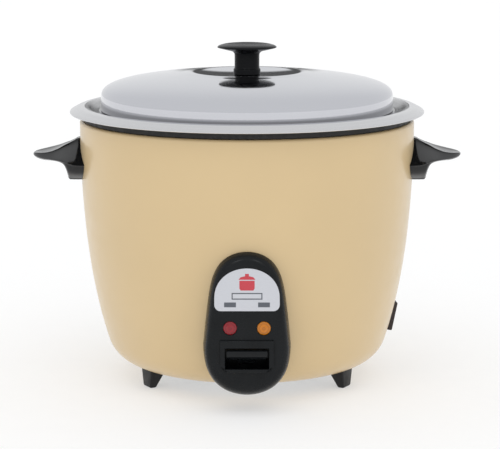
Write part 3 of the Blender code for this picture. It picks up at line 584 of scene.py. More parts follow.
def base_screw_tools():
    """Tools for the three holes of the bottom plate's screws."""
    tools = []
    for i in range(3):
        turn = BASE_SCREW_TURN + 120 * i
        low, high = ring_point(BASE_SCREW_R, turn, 2), ring_point(BASE_SCREW_R, turn, 14)
        tools.append(rod("tool", low, high, HOLE_R))
    return tools


def catch_glints(*pieces):
    """Lets the two small lamps shine on these pieces."""
    for piece in pieces:
        bpy.data.collections["glossy_black_pieces"].objects.link(piece)


def place_at_inlet(obj):
    """Moves a piece made round the origin, facing +X, to the inlet's place on the wall."""
    place = Matrix.Rotation(INLET_ANGLE, 4, "Z")
    place @= Matrix.Translation(Vector((wall_radius(INLET_Z), 0, INLET_Z)) * MM)
    place @= Matrix.Rotation(INLET_TILT, 4, "Y")
    obj.data.transform(place)
    return obj


# ---- shell, liner and base ---------------------------------------------------------------


class ShellOperator(bpy.types.Operator):
    """Make the enamelled outer shell with its rolled mouth and its openings"""

    bl_idname = "rice_cooker.shell"
    bl_label = "Outer Shell"

    def execute(self, context):
        top = shell_top()
        start = top - SHELL_EDGE_R
        outer = shell_side(start, SHELL_LIP_R)
        inner = shell_side(start, SHELL_LIP_R, -SHEET)
        edge = arc((SHELL_TOP_R - SHELL_EDGE_R, start), SHELL_EDGE_R, 90, 10, 8)
        bend = arc((SHELL_TOP_R - SHELL_EDGE_R, start), SHELL_EDGE_R - SHEET, 10, 90, 8)
        profile = [(SHELL_MOUTH_R, top)] + edge + outer + list(reversed(inner)) + bend
        profile += [(SHELL_MOUTH_R, top - SHEET)]
        shell = turned("shell", profile)
        tools = [block("tool", (-8, -160, 34), (8, -135, 51))]
        for side in (-1, 1):
            x, z = side * LAMP_X, LAMP_Z
            tools.append(rod("tool", (x, PANEL_FRONT_Y, z), (x, -140, z), 4.0))
            x, z = side * PANEL_SCREW_X, PANEL_SCREW_Z
            tools.append(rod("tool", (x, PANEL_FRONT_Y, z), (x, -150, z), HOLE_R))
            for y in (-HANDLE_SCREW_Y, HANDLE_SCREW_Y):
                z = HANDLE_SCREW_Z
                tools.append(rod("tool", (side * 150, y, z), (side * 185, y, z), HOLE_R))
        for turn in FOOT_TURNS.values():
            low, high = ring_point(FOOT_SCREW_R, turn, 0), ring_point(FOOT_SCREW_R, turn, 20)
            tools.append(rod("tool", low, high, HOLE_R))
        tools += base_screw_tools()
        tools.append(place_at_inlet(block("tool", (-12, -13.5, -11.5), (12, 13.5, 11.5))))
        carve(shell, *tools)
        settle(shell, "body", enamel_finish(), "shell_enamel", "outer_shell")
        return {"FINISHED"}


class LinerOperator(bpy.types.Operator):
    """Make the bright liner bowl and the black seat ring on its lip"""

    bl_idname = "rice_cooker.liner"
    bl_label = "Liner and Seat Ring"

    def execute(self, context):
        r, z, top, lip = LINER_R, LINER_FLOOR_Z, shell_top() + GAP, LINER_LIP_R
        corner = (r - LINER_CORNER_R, z + LINER_CORNER_R)
        outer = [(lip, top + SHEET), (lip, top), (r + SHEET, top)]
        outer += arc(corner, LINER_CORNER_R + SHEET, 0, -90, 14)
        inner = arc(corner, LINER_CORNER_R, -90, 0, 14)
        profile = outer + [(112.0, z - SHEET), (112.0, z)] + inner + [(r, top + SHEET)]
        liner = turned("liner", profile)
        bright = steel_finish("bright_liner", (0.56, 0.56, 0.57), 0.24, 0.36)
        settle(liner, "body", bright, "liner_steel", "inner_liner")
        low = top + SHEET + GAP
        crest = [(151.8, 265.1), (160.0, 268.1)] + arc((165.0, 265.6), 2.0, 90, 0, 6)
        skirt = [(167.0, top + 0.5), (166.5, top), (lip + GAP, top), (lip + GAP, low)]
        ring = turned("seat_ring", crest + skirt + [(151.8, low)])
        black = matt_finish("seat_silicone", (0.012, 0.011, 0.010), 0.62, 700.0)
        settle(ring, "body", black, "rim_silicone", "rim_seat_ring")
        return {"FINISHED"}


class BaseOperator(bpy.types.Operator):
    """Make the plated bottom plate with its pressed ribs and vents"""

    bl_idname = "rice_cooker.base"
    bl_label = "Bottom Plate"

    def execute(self, context):
        z = BASE_Z
        upper = [(0, z + SHEET)]
        lower = []
        for r in range(8, 109, 2):
            rib = RIB_RISE * max(0.0, math.cos((r - 46) / 5.0)) if 38 < r < 54 else 0.0
            upper.append((r, z + SHEET + rib))
            lower.append((r, z + rib))
        profile = upper + [(BASE_R, z + SHEET), (BASE_R, z)] + list(reversed(lower)) + [(0, z)]
        base = turned("base_plate", profile)
        tools = []
        for i in range(6):
            vent = block("tool", (58, -2.5, 0), (84, 2.5, 30), 1.2)
            vent.data.transform(Matrix.Rotation(math.radians(VENT_TURN + 60 * i), 4, "Z"))
            tools.append(vent)
        carve(base, *tools, *base_screw_tools())
        zinc = steel_finish("zinc_sheet", (0.60, 0.61, 0.61), 0.34, 0.48)
        settle(base, "body", zinc, "zinc_steel", "bottom_plate")
        return {"FINISHED"}


class FeetOperator(bpy.types.Operator):
    """Make the three tapered feet under the edge of the shell's base"""

    bl_idname = "rice_cooker.feet"
    bl_label = "Feet"

    def execute(self, context):
        finish = resin_finish("foot_resin", shade(tuple(colours().black), 0.6), 0.36, 0.5, 0.3)
        for name, turn in FOOT_TURNS.items():
            rings = []
            for z, inner_r, outer_r, half in FOOT_SECTIONS:
                corners = [(inner_r, -half), (outer_r, -half), (outer_r, half), (inner_r, half)]
                rings.append([(x, y, z) for x, y in corners])
            foot = loft(f"foot_{name}_moulding", rings, rounding=1.8)
            foot.data.transform(Matrix.Rotation(math.radians(turn), 4, "Z"))
            low, high = ring_point(FOOT_SCREW_R, turn, 0), ring_point(FOOT_SCREW_R, turn, FOOT_SCREW_Z)
            carve(foot, shell_volume("tool"), rod("tool", low, high, PILOT_R))
            settle(foot, "body", finish, "black_phenolic", f"foot_{name}")
        return {"FINISHED"}


# ---- pan, lid and knob -------------------------------------------------------------------

PAN_R = 142.0
PAN_SHEET = 1.5
PAN_FLOOR_Z = 94.0
PAN_CORNER_R = 28.0
LEDGE_Z = 266.5
LID_SHEET = 1.6
LID_RING_R = 50.0
LID_RING_Z = 305.2
LID_DISH_Z = 301.8
LID_SEAT_R = 15.0
LID_SIDE_Z = 272.0  # where the lid's side turns upright
LID_CONE_R = 66.0  # where the cone begins, outside the ring round the dish
KNOB_BOLT_R = 2.4


class PanOperator(bpy.types.Operator):
    """Make the spun pan with its lid ledge and its wide rolled flange"""

    bl_idname = "rice_cooker.pan"
    bl_label = "Pan"

    def execute(self, context):
        rim = sizes().rim_radius / MM
        floor = PAN_FLOOR_Z + PAN_SHEET
        corner = (PAN_R - PAN_CORNER_R, floor + PAN_CORNER_R)
        bend = [(PAN_R, LEDGE_Z - 4.0), (PAN_R + 0.8, LEDGE_Z - 1.1), (PAN_R + 2.8, LEDGE_Z)]
        rise = [(150.0, LEDGE_Z), (152.0, LEDGE_Z + 0.5), (160.0, 270.0), (165.5, 271.4)]
        fall = [(165.5, 271.4), (171.0, 270.6), (176.5, 268.0), (179.2, 266.5), (rim, 265.3)]
        profile = [(0, floor)] + arc(corner, PAN_CORNER_R, -90, 0, 16) + smooth_line(bend, 4)
        profile += smooth_line(rise)[:-1] + smooth_line(fall)[:-1]
        profile += arc((rim - 1.0, 265.2), 1.0, 0, -120, 6)
        profile += [(178.0, 264.9), (175.6, 266.6), (170.4, 269.2), (165.4, 269.9), (160.6, 268.7)]
        profile += [(151.0, LEDGE_Z - PAN_SHEET), (PAN_R + PAN_SHEET + 1.2, LEDGE_Z - PAN_SHEET)]
        profile += [(PAN_R + PAN_SHEET, LEDGE_Z - 3.4)]
        profile += arc(corner, PAN_CORNER_R + PAN_SHEET, 0, -90, 16) + [(0, PAN_FLOOR_Z)]
        pan = turned("pan", profile)
        spun = spun_finish("spun_pan", tuple(colours().pan), 0.16, 0.26, 0.08)
        # painted shade: the ledge's base colour is darkened where the lid's side shades it
        paint_shade_on_ledge(spun, 0.5)
        settle(pan, "pan", spun, "pan_aluminium", "inner_pan")
        return {"FINISHED"}


def lid_height(r, radius):
    """The lid's outside: an almost flat cone that rolls over into a steep side."""
    roll = 1.0 - (1.0 - min(1.0, r / radius) ** 5.9) ** (1.0 / 3.4)
    return LID_RING_Z - 0.084 * (r - LID_RING_R) - 19.2 * roll


class LidOperator(bpy.types.Operator):
    """Make the pressed and polished lid with its dished middle"""

    bl_idname = "rice_cooker.lid"
    bl_label = "Lid"

    def execute(self, context):
        radius = sizes().lid_radius / MM
        outside = [(0, LID_DISH_Z)]
        steps = 16
        for i in range(steps + 1):
            share = i / steps
            rise = (LID_RING_Z - 0.4 - LID_DISH_Z) * share**1.7
            outside.append((LID_SEAT_R + (LID_RING_R - LID_SEAT_R) * share, LID_DISH_Z + rise))
        crest = [(LID_RING_R + 3.5, LID_RING_Z - 0.15), (LID_RING_R + 8.0, LID_RING_Z - 0.45)]
        crest.append((LID_CONE_R, lid_height(LID_CONE_R, radius)))
        outside += smooth_line([outside.pop()] + crest)
        count = 60
        for i in range(1, count + 1):
            r = LID_CONE_R + (radius - LID_CONE_R) * math.sin(math.pi / 2 * i / count)
            r = min(r, radius - 0.02)
            outside.append((r, lid_height(r, radius)))
        side_z = LEDGE_Z + GAP
        under = []
        for (r0, z0), (r1, z1) in zip(outside, outside[1:]):
            inward = LID_SHEET * 0.8 / (math.hypot(r1 - r0, z1 - z0) or 1.0)
            under.append((max(0.0, r0 + (z1 - z0) * inward), z0 - (r1 - r0) * inward))
        hem = LID_SHEET / 2
        profile = outside + [(radius, LID_SIDE_Z)] + arc((radius - hem, side_z + hem), hem, 0, -180, 8)
        profile += [(radius - LID_SHEET, LID_SIDE_Z)] + list(reversed(under))
        lid = turned("lid_cover", profile)
        carve(lid, rod("tool", (0, 0, 290), (0, 0, 310), KNOB_BOLT_R))
        settle(lid, "lid", polished_finish(), "polished_aluminium", "lid")
        return {"FINISHED"}


class KnobOperator(bpy.types.Operator):
    """Make the black knob: a lens-shaped head on a straight stem"""

    bl_idname = "rice_cooker.knob"
    bl_label = "Knob"

    def execute(self, context):
        top = sizes().knob_top / MM - FOOT_REACH
        base = LID_DISH_Z + GAP
        crown = [(0, top), (8, top - 0.1), (16, top - 0.5), (23, top - 1.2), (28, top - 2.5)]
        crown = smooth_line(crown + [(29.8, top - 3.7)])
        crown += smooth_line([(30.0, top - 4.2), (29.2, top - 4.9), (21, top - 7.0)])
        neck = [(20.5, top - 7.1), (15.5, top - 8.4), (13.0, top - 10.6), (12.6, top - 13.5)]
        foot = smooth_line([(12.6, 309.6), (12.9, 308.4), (13.6, 307.4), (13.7, 306.0)])
        profile = crown + smooth_line(neck) + foot + [(13.7, base + 0.5), (13.2, base), (0, base)]
        knob = turned("knob", profile, 96)
        carve(knob, rod("tool", (0, 0, 290), (0, 0, 322), KNOB_BOLT_R))
        resin = resin_finish("knob_resin", shade(tuple(colours().black), 0.5), 0.22, 0.30, 0.08)
        settle(knob, "lid", resin, "black_phenolic", "lid_knob")
        catch_glints(knob)
        return {"FINISHED"}


# ---- handles -----------------------------------------------------------------------------

HANDLE_SECTIONS = (
    # x, ridge z, ridge y, dish, widest y, widest z, under z, under y
    (150.0, 238.5, 6.0, 0.0, 45.0, 214.0, 198.0, 28.0),
    (170.0, 237.6, 6.5, 0.0, 45.0, 214.0, 198.0, 28.0),
    (176.0, 235.3, 7.2, 0.1, 44.5, 214.8, 198.0, 27.5),
    (180.0, 233.4, 8.6, 0.3, 43.4, 216.0, 198.7, 27.0),
    (182.0, 232.5, 9.8, 0.5, 42.7, 216.7, 204.4, 26.5),
    (184.2, 231.7, 11.2, 0.7, 41.8, 217.4, 211.2, 27.0),
    (187.0, 230.5, 13.6, 1.0, 40.6, 218.2, 215.0, 30.0),
    (192.0, 228.2, 18.4, 1.5, 37.6, 219.0, 216.8, 30.0),
    (199.0, 225.9, 21.6, 1.8, 32.6, 219.5, 217.3, 26.0),
    (206.0, 224.4, 19.2, 1.6, 26.2, 219.6, 217.2, 20.5),
    (212.0, 223.6, 13.8, 1.0, 18.6, 219.9, 217.8, 14.0),
    (216.0, 223.0, 8.0, 0.4, 10.8, 220.4, 218.9, 8.0),
    (218.0, 222.1, 3.4, 0.1, 4.6, 221.0, 220.3, 3.4),
)


def handle_section(row, side):
    """One upright section of a handle, from a row of HANDLE_SECTIONS.

    From the top middle it runs over the ridge, down the side to the widest line, and in under the
    grip, or further down to the leg's underside near the shell.
    """
    x, ridge_z, ridge_y, dish, widest_y, widest_z, under_z, under_y = row
    drop = widest_z - under_z
    half = [(0.0, ridge_z - dish), (0.6 * ridge_y, ridge_z - 0.6 * dish), (ridge_y, ridge_z)]
    half += [(0.86 * ridge_y + 0.14 * widest_y, ridge_z - 0.2 * (ridge_z - widest_z))]
    half += [(widest_y - 0.9, widest_z + 0.12 * (ridge_z - widest_z)), (widest_y, widest_z)]
    half += [(0.3 * under_y + 0.7 * widest_y, widest_z - 0.5 * drop), (under_y, widest_z - 0.93 * drop)]
    half += [(0.88 * under_y, under_z), (0.0, under_z)]
    line = smooth_line(half, 5)
    ring = [(side * x, y, z) for y, z in line]
    return ring + [(side * x, -y, z) for y, z in reversed(line[1:-1])]


class HandlesOperator(bpy.types.Operator):
    """Make the two moulded side handles"""

    bl_idname = "rice_cooker.handles"
    bl_label = "Side Handles"

    def execute(self, context):
        finish = resin_finish("handle_resin", shade(tuple(colours().black), 0.4), 0.05, 0.09, 0.4)
        tip = HANDLE_SECTIONS[-1][0]
        stretch = sizes().handle_reach / MM / tip
        rows = [(min(x, tip) * stretch, *rest) for x, *rest in smooth_line(HANDLE_SECTIONS, 6)]
        for name, side in (("right", 1), ("left", -1)):
            handle = loft(f"handle_{name}_moulding", [handle_section(row, side) for row in rows])
            tools = [shell_volume("tool")]
            for y in (-HANDLE_SCREW_Y, HANDLE_SCREW_Y):
                ends = (side * 160, y, HANDLE_SCREW_Z), (side * 177, y, HANDLE_SCREW_Z)
                tools.append(rod("tool", *ends, PILOT_R))
            carve(handle, *tools, smooth=math.radians(50.0))
            settle(handle, "body", finish, "black_phenolic", f"handle_{name}")
        return {"FINISHED"}


# ---- control panel -----------------------------------------------------------------------

PANEL_HALF_WIDTH = 42.3
PANEL_WIDEST_Z = 57.0
PANEL_TOP_Z = 151.0
PANEL_BASE_Z = 6.0
PANEL_MIDDLE_Z = 78.0
LAMP_R = 6.6
CHIN_Z = 38.0  # the panel's chin leans back below this height
CHIN_SPAN = 32.0
CHIN_LEAN = 13.0
PLATE_SHEET = 0.8
INK_LOW, INK_HIGH = 0.02, 0.12  # how far the ink's two faces stand out of the plate


def panel_width(z):
    """The control panel's half-width at a height: an egg with its narrow end up."""
    if z >= PANEL_WIDEST_Z:
        t = (z - PANEL_WIDEST_Z) / (PANEL_TOP_Z - PANEL_WIDEST_Z)
        return (PANEL_HALF_WIDTH - 9.5 * t) * math.sqrt(max(0.0, 1.0 - t**6.3))
    t = (PANEL_WIDEST_Z - z) / (PANEL_WIDEST_Z - PANEL_BASE_Z)
    return PANEL_HALF_WIDTH * math.sqrt(max(0.0, 1.0 - t**2.3))


def panel_ring(y, inset, bend=1.0, steps=36):
    """One ring of the panel's skin, drawn in by an inset. Its chin leans back towards the shell."""
    turns = [math.pi / 2 * i / steps for i in range(steps + 1)]
    above, below = PANEL_TOP_Z - PANEL_WIDEST_Z, PANEL_WIDEST_Z - PANEL_BASE_Z
    heights = [PANEL_WIDEST_Z + above * math.cos(turn) for turn in turns]
    heights += [PANEL_WIDEST_Z - below * math.sin(turn) for turn in turns[1:]]
    outline = [(panel_width(z), z) for z in heights]
    outline += [(-x, z) for x, z in reversed(outline[1:-1])]
    wide = 1.0 - inset / PANEL_HALF_WIDTH
    tall = 1.0 - inset / (PANEL_TOP_Z - PANEL_MIDDLE_Z)
    ring = []
    for x, z in outline:
        z = PANEL_MIDDLE_Z + (z - PANEL_MIDDLE_Z) * tall
        low = max(0.0, (CHIN_Z - z) / CHIN_SPAN)
        ring.append((x * wide, y + CHIN_LEAN * bend * low**2, z))
    return ring


class PanelOperator(bpy.types.Operator):
    """Make the moulded control panel with its raised lever guard"""

    bl_idname = "rice_cooker.panel"
    bl_label = "Control Panel"

    def execute(self, context):
        front = PANEL_FRONT_Y
        rings = [panel_ring(-112, 6.0, 0.0), panel_ring(-150, 0.0), panel_ring(-162, 0.6)]
        brow = [(-167.0, 1.3), (-171.5, 2.9), (-174.4, 5.4), (-175.7, 8.2), (front, 11.5)]
        rings += [panel_ring(y, inset) for y, inset in smooth_line(brow, 4)]
        rings += [panel_ring(front, inset) for inset in (15.0, 20.0, 26.0, 33.0)]
        panel = loft("panel_moulding", rings)
        hollow = [panel_ring(-108, 9.0, 0.0), panel_ring(-150, 3.0), panel_ring(-167, 4.4)]
        hollow += [panel_ring(front + 3, inset) for inset in (8.0, 14.0, 20.0, 33.0)]
        tools = [loft("tool", hollow), shell_volume("tool")]
        tools.append(block("tool", (-22, front - 6, 37), (22, front + 6, 59.5)))
        for side in (-1, 1):
            lamp = (side * LAMP_X, front - 5, LAMP_Z), (side * LAMP_X, front + 5, LAMP_Z)
            tools.append(rod("tool", *lamp, LAMP_R + GAP, 48))
        carve(panel, *tools)
        finish = resin_finish("panel_resin", tuple(colours().panel), 0.22, 0.32, 0.16)
        settle(panel, "body", finish, "panel_plastic", "control_panel")
        guard = [(-25.7, 66), (25.7, 66), (25.7, 41), (18.5, 34.5), (-18.5, 34.5), (-25.7, 41)]
        mouth = [(-21, 38), (21, 38), (21, 58.5), (-21, 58.5)]
        frame_piece = front_slab("lever_guard", [guard, mouth], front - 2.6, front + 1.2, 0.8)
        settle(frame_piece, "body", finish, "panel_plastic")
        catch_glints(panel, frame_piece)
        wall = [(-27, 26), (27, 26), (27, 57), (-27, 57)]
        opening = [(-7.5, 37), (7.5, 37), (7.5, 49), (-7.5, 49)]
        shroud = front_slab("slot_shroud", [wall, opening], -151.4, -150.5)
        settle(shroud, "body", finish, "panel_plastic")
        return {"FINISHED"}


class LeverOperator(bpy.types.Operator):
    """Make the black paddle on the cook lever"""

    bl_idname = "rice_cooker.lever"
    bl_label = "Cook Lever"

    def execute(self, context):
        lip = [(-179.2, 50.6), (-179.4, 53.5), (-178.6, 55.6), (-176.6, 56.5), (-170.0, 56.4)]
        lip += [(-165.0, 52.5), (-152.0, 51.0), (-152.0, 41.2), (-166.0, 41.2), (-172.0, 46.0)]
        lip.append((-177.6, 48.6))
        paddle = outline_slab("cook_paddle", [lip], 39.2, 0.7)
        paddle.data.transform(Matrix(((0, 0, 1, 0), (1, 0, 0, 0), (0, 1, 0, 0), (0, 0, 0, 1))))
        tools = []
        for side in (-1, 1):
            low_x, high_x = sorted((side * 9.0, side * 24.0))
            tools.append(block("tool", (low_x, -172, 38), (high_x, -148, 60)))
        tools.append(block("tool", (-6.3, -164.4, 44.2), (6.3, -140, 47.8)))
        carve(paddle, *tools)
        finish = resin_finish("lever_resin", tuple(colours().panel), 0.12, 0.20, 0.2)
        settle(paddle, "lever", finish, "panel_plastic", "cook_lever")
        catch_glints(paddle)
        return {"FINISHED"}


def arch(half, low, high, corner, shoulder, steps=40):
    """A D-shaped outline: an arch over a straight lower edge with round corners."""
    outline = []
    for i in range(steps + 1):
        angle = math.pi * i / steps
        outline.append((half * math.cos(angle), shoulder + (high - shoulder) * math.sin(angle) ** 0.9))
    for centre_x, start in ((-half + corner, 180), (half - corner, 270)):
        outline += arc((centre_x, low + corner), corner, start, start + 90, 10)
    return outline


def rectangle(x, half, low, high):
    """The corners of an upright rectangle from its middle, half-width and two heights."""
    return [(x - half, low), (x + half, low), (x + half, high), (x - half, high)]


class PlateOperator(bpy.types.Operator):
    """Make the silvered plate and its plain printed marks"""

    bl_idname = "rice_cooker.plate"
    bl_label = "Face Plate"

    def execute(self, context):
        front = PANEL_FRONT_Y - GAP
        face = front - PLATE_SHEET
        plate = front_slab("silver_plate", [arch(31.0, 94.7, 136.0, 6.0, 106.5)], face, front, 0.25)
        settle(plate, "body", plate_finish(), "label_plate", "face_label")
        red = print_finish("red_print", (0.55, 0.05, 0.07))
        grey = print_finish("grey_print", (0.10, 0.11, 0.13))
        pot = [(-7.2, 116.6), (-6.0, 114.8), (6.0, 114.8), (7.2, 116.6), (7.2, 124.2), (-7.2, 124.2)]
        lid = [(-8.0, 125.2), (8.0, 125.2), (6.0, 127.6), (1.8, 128.6), (1.8, 130.8)]
        lid += [(-1.8, 130.8), (-1.8, 128.6), (-6.0, 127.6)]
        border = [rectangle(0.0, 14.6, 106.0, 112.4), rectangle(0.0, 13.6, 107.0, 111.4)]
        marks = [("pot_mark", [pot], red, "lamp_red"), ("pot_lid_mark", [lid], red, "lamp_red")]
        marks.append(("border_mark", border, grey, "panel_plastic"))
        for side, name in ((-1, "cook"), (1, "hold")):
            bar = rectangle(side * LAMP_X, 5.6, 98.6, 103.2)
            marks.append((f"{name}_mark", [bar], grey, "panel_plastic"))
        for name, outlines, finish, slot in marks:
            made = front_slab(name, outlines, face - INK_HIGH, face - INK_LOW)
            settle(made, "body", finish, slot)
        return {"FINISHED"}


class LampsOperator(bpy.types.Operator):
    """Make the red and the amber lamp lens"""

    bl_idname = "rice_cooker.lamps"
    bl_label = "Lamps"

    def execute(self, context):
        r = LAMP_R
        shades = (("cook", -1, "red", "lamp_red"), ("hold", 1, "amber", "lamp_amber"))
        for name, side, tone, slot in shades:
            dome = smooth_line([(0, 1.8), (2.4, 1.65), (4.6, 1.1), (r - 0.4, 0.1), (r, -0.8)], 5)
            skirt = [(r, -3.3), (r + 1.8, -3.3), (r + 1.8, -4.8), (r - 1.4, -4.8), (r - 1.4, -2.0)]
            lens = turned(f"{name}_lens", dome + skirt + [(0, -1.2)], 64)
            place = Matrix.Translation(Vector((side * LAMP_X, PANEL_FRONT_Y, LAMP_Z)) * MM)
            lens.matrix_world = place @ turn_to((0, -1, 0))
            finish = lens_finish(f"{tone}_lens_resin", tuple(getattr(colours(), tone)))
            settle(lens, "body", finish, slot, f"{name}_lamp_lens")
        return {"FINISHED"}


# ---- inlet -------------------------------------------------------------------------------


class InletOperator(bpy.types.Operator):
    """Make the power inlet's moulded flange and socket"""

    bl_idname = "rice_cooker.inlet"
    bl_label = "Power Inlet"

    def execute(self, context):
        inlet = place_at_inlet(block("inlet_moulding", (-6, -19.0, -15), (3.6, 19.0, 15), 1.4, 4))
        carve(inlet, shell_volume("tool"))
        carve(inlet, place_at_inlet(block("tool", (-18, -13, -11), (2.9, 13, 11))), operation="UNION")
        tools = [place_at_inlet(block("tool", (-14, -11, -8.5), (8, 11, 8.5), 2.0))]
        for side in (-1, 1):
            tools.append(place_at_inlet(rod("tool", (-20, side * 5.5, 0), (8, side * 5.5, 0), 2.2)))
        carve(inlet, *tools)
        finish = resin_finish("inlet_resin", (0.020, 0.010, 0.008), 0.42, 0.55)
        settle(inlet, "body", finish, "inlet_plastic", "power_inlet")
        return {"FINISHED"}


# ---- heating plate and inner works -------------------------------------------------------


class HeaterOperator(bpy.types.Operator):
    """Make the machined hot plate and the sensor cap in its middle"""

    bl_idname = "rice_cooker.heater"
    bl_label = "Hot Plate and Sensor"

    def execute(self, context):
        top, base, r = 93.7, 82.5, 105.5
        profile = arc((r - 1.5, top - 1.5), 1.5, 90, 0, 5) + [(r, base + 1.5), (r - 1.5, base)]
        profile += [(80.2, base), (80.2, 88.7), (69.8, 88.7), (69.8, base)]
        profile += [(22, base), (22, top - 0.6), (22.6, top)]
        plate = turned("heating_plate", profile)
        cast = spun_finish("machined_casting", (0.58, 0.58, 0.59), 0.34, 0.5, 0.3)
        settle(plate, "body", cast, "cast_aluminium", "hot_plate")
        cap = [(0, top)] + arc((17.5, top - 1.5), 1.5, 90, 0, 5)
        cap += [(19.0, 70.0), (17.4, 70.0), (17.4, 91.8), (0, 91.8)]
        sensor = turned("sensor_button", cap, 64)
        button = spun_finish("sensor_metal", (0.66, 0.66, 0.67), 0.22, 0.34)
        settle(sensor, "sensor", button, "cast_aluminium", "sensor_cap")
        return {"FINISHED"}


class WorksOperator(bpy.types.Operator):
    """Give the frame's own inner pieces and fasteners their finishes"""

    bl_idname = "rice_cooker.works"
    bl_label = "Inner Works and Fasteners"

    def execute(self, context):
        black = resin_finish("switch_resin", (0.02, 0.02, 0.022), 0.4, 0.5)
        zinc = steel_finish("zinc_bracket", (0.60, 0.61, 0.60), 0.32, 0.46)
        finishes = {
            "black_phenolic": black,
            "panel_plastic": black,
            "zinc_steel": zinc,
            "element_sheath": steel_finish("element_sheath", (0.30, 0.27, 0.24), 0.4, 0.56),
            "spring_steel": steel_finish("spring_wire", (0.50, 0.50, 0.52), 0.2, 0.3),
            "ferrite": matt_finish("ferrite_block", (0.05, 0.05, 0.055), 0.6),
            "screw_steel": steel_finish("plated_fasteners", (0.68, 0.68, 0.70), 0.22, 0.34),
            "pin_brass": steel_finish("contact_brass", (0.72, 0.52, 0.22), 0.2, 0.32),
            "wire_cover": matt_finish("wire_sleeve", (0.60, 0.57, 0.52), 0.7, 1400.0),
            "fuse_ceramic": matt_finish("fuse_sleeve", (0.78, 0.75, 0.68), 0.5),
            "heater_mica": matt_finish("mica_band", (0.50, 0.43, 0.32), 0.62),
            "neon_glass": glass_finish(),
        }
        slots = {part["node"]: part["material_slot"] for part in frame["record"]["subparts"]}
        for name, node in frame["nodes"].items():
            if node.hide_render:
                continue
            if slots[name] not in finishes:
                raise ValueError(f"no finish for {name}, whose slot is {slots[name]}")
            node.data.materials.clear()
            node.data.materials.append(finishes[slots[name]])
        return {"FINISHED"}


# ---- stage -------------------------------------------------------------------------------

FLOOR_HALF = 6.5
PAPER_GREY = 0.52
PAPER_GLOW = 0.45
AIR_COLOUR = (0.98, 0.99, 1.0, 1.0)
AIR_RANGE = {"From Min": 0.13, "From Max": 0.21, "To Min": 0.10, "To Max": 0.88}
DARK_DOOR = (0.0, 1.0, 0.05)  # the direction of the dark gap in the studio's pale walls
DOOR_NARROWING = 4.2
LIGHT_AIM = (0.0, 0.0, 0.16)
SKY_PLACE = (0.0, -1.6, 2.6)
SKY_POWER = 0.6
GLINT_AIM = (0.0, 0.0, 0.1)
GLINT_PLACE = (0.62, -1.7, 1.35)
GLINT_POWER = 3.0
CAMERA_PLACE = (0.0, -2.060, 0.521)
CAMERA_AIM = (0.0, 0.0, 0.151)
CAMERA_LENS = 146.3


def looking_at(place, target):
    """The turn that points a lamp or a camera at a target."""
    return (Vector(target) - Vector(place)).to_track_quat("-Z", "Y").to_euler()


def add_light(name, kind, place, target, power, **settings):
    """A lamp that shines from a place at a target."""
    data = bpy.data.lights.new(name, kind)
    data.energy = power
    for key, value in settings.items():
        setattr(data, key, value)
    lamp = bpy.data.objects.new(name, data)
    lamp.location = place
    lamp.rotation_euler = looking_at(place, target)
    bpy.context.scene.collection.objects.link(lamp)
    return lamp


def lay_floor():
    """A wide sheet of pale studio paper that glows a little."""
    shape = bmesh.new()
    bmesh.ops.create_grid(shape, x_segments=1, y_segments=1, size=FLOOR_HALF)
    floor = to_object("studio_floor", shape)
    glow = {"Emission_Color": (1.0, 1.0, 1.0, 1.0), "Emission_Strength": PAPER_GLOW}
    paper = new_finish("floor_paper", (PAPER_GREY,) * 3, 0.8, **glow)
    vary_gloss(paper, noise(paper, 30.0), 0.75, 0.9)
    floor.data.materials.append(paper)


def make_air():
    """Pale studio walls all round, with one narrow dark gap behind the cooker."""
    world = bpy.data.worlds.new("studio_air")
    world.use_nodes = True
    air = world.node_tree.nodes["Background"]
    air.inputs["Color"].default_value = AIR_COLOUR
    toward = add_node(world, "ShaderNodeTexCoord").outputs["Generated"]
    inputs = {0: toward, 1: (DOOR_NARROWING, 1.0, 1.0)}
    narrowed = add_node(world, "ShaderNodeVectorMath", inputs, operation="MULTIPLY").outputs[0]
    inputs = {0: narrowed, 1: DARK_DOOR}
    away = add_node(world, "ShaderNodeVectorMath", inputs, operation="DISTANCE").outputs["Value"]
    inputs = {"Value": away, **AIR_RANGE}
    clear = add_node(world, "ShaderNodeMapRange", inputs, interpolation_type="SMOOTHSTEP")
    world.node_tree.links.new(clear.outputs[0], air.inputs["Strength"])
    return world


def hang_lights():
    """A broad soft light over the front, and two small lamps that only the black pieces catch."""
    sky = add_light("sky_panel", "SUN", SKY_PLACE, LIGHT_AIM, SKY_POWER, angle=math.radians(60))
    sky.visible_glossy = False
    glints = bpy.data.collections.new("glossy_black_pieces")
    x, y, z = GLINT_PLACE
    for side in (-1, 1):
        place = (x * side, y, z)
        disc = {"shape": "DISK", "size": 0.16}
        glint = add_light(f"glint_{side}", "AREA", place, GLINT_AIM, GLINT_POWER, **disc)
        glint.light_linking.receiver_collection = glints


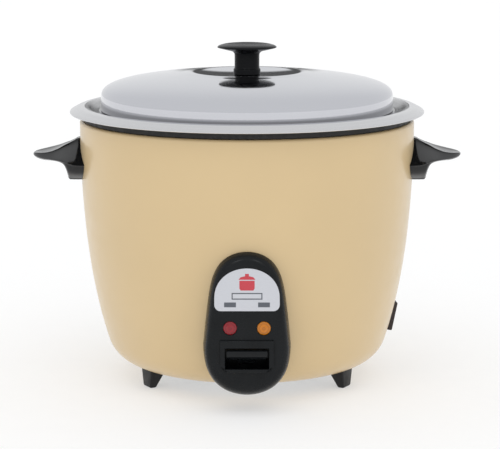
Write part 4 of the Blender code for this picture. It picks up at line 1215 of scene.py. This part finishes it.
def set_camera(scene):
    """A long lens in front of the cooker, a little above it."""
    camera = bpy.data.cameras.new("camera")
    camera.lens = CAMERA_LENS
    camera.sensor_width = 36.0
    camera.shift_x = 0.006
    camera.shift_y = 0.0114
    camera.clip_end = 100.0
    holder = bpy.data.objects.new("camera", camera)
    holder.location = CAMERA_PLACE
    holder.rotation_euler = looking_at(CAMERA_PLACE, CAMERA_AIM)
    scene.collection.objects.link(holder)
    scene.camera = holder


class StageOperator(bpy.types.Operator):
    """Set out the pale floor, the soft studio light and the camera"""

    bl_idname = "rice_cooker.stage"
    bl_label = "Stage"

    def execute(self, context):
        scene = context.scene
        lay_floor()
        scene.world = make_air()
        hang_lights()
        set_camera(scene)
        scene.view_settings.view_transform = "Standard"
        return {"FINISHED"}


# ---- panel, registration and main --------------------------------------------------------

MAKERS = (
    StageOperator,
    ShellOperator,
    LinerOperator,
    BaseOperator,
    FeetOperator,
    PanOperator,
    LidOperator,
    KnobOperator,
    HandlesOperator,
    PanelOperator,
    LeverOperator,
    PlateOperator,
    LampsOperator,
    InletOperator,
    HeaterOperator,
    WorksOperator,
)


class CookerPanel(bpy.types.Panel):
    """Lists the makers of the cooker's pieces and their settings."""

    bl_idname = "VIEW3D_PT_rice_cooker"
    bl_label = "Rice Cooker"
    bl_space_type = "VIEW_3D"
    bl_region_type = "UI"
    bl_category = "Rice Cooker"

    def draw(self, context):
        for group in (context.scene.rice_cooker_sizes, context.scene.rice_cooker_colours):
            for name in group.bl_rna.properties.keys():
                if name not in ("rna_type", "name"):
                    self.layout.prop(group, name)
        for maker in MAKERS:
            self.layout.operator(maker.bl_idname)


CLASSES = (CookerSizes, CookerColours, *MAKERS, CookerPanel)


def register():
    for cls in CLASSES:
        bpy.utils.register_class(cls)
    bpy.types.Scene.rice_cooker_sizes = PointerProperty(type=CookerSizes)
    bpy.types.Scene.rice_cooker_colours = PointerProperty(type=CookerColours)


def unregister():
    del bpy.types.Scene.rice_cooker_colours
    del bpy.types.Scene.rice_cooker_sizes
    for cls in reversed(CLASSES):
        bpy.utils.unregister_class(cls)


def main():
    """Makes every piece and the stage."""
    register()
    for maker in MAKERS:
        group, name = maker.bl_idname.split(".")
        getattr(getattr(bpy.ops, group), name)()


if __name__ == "__main__":
    main()
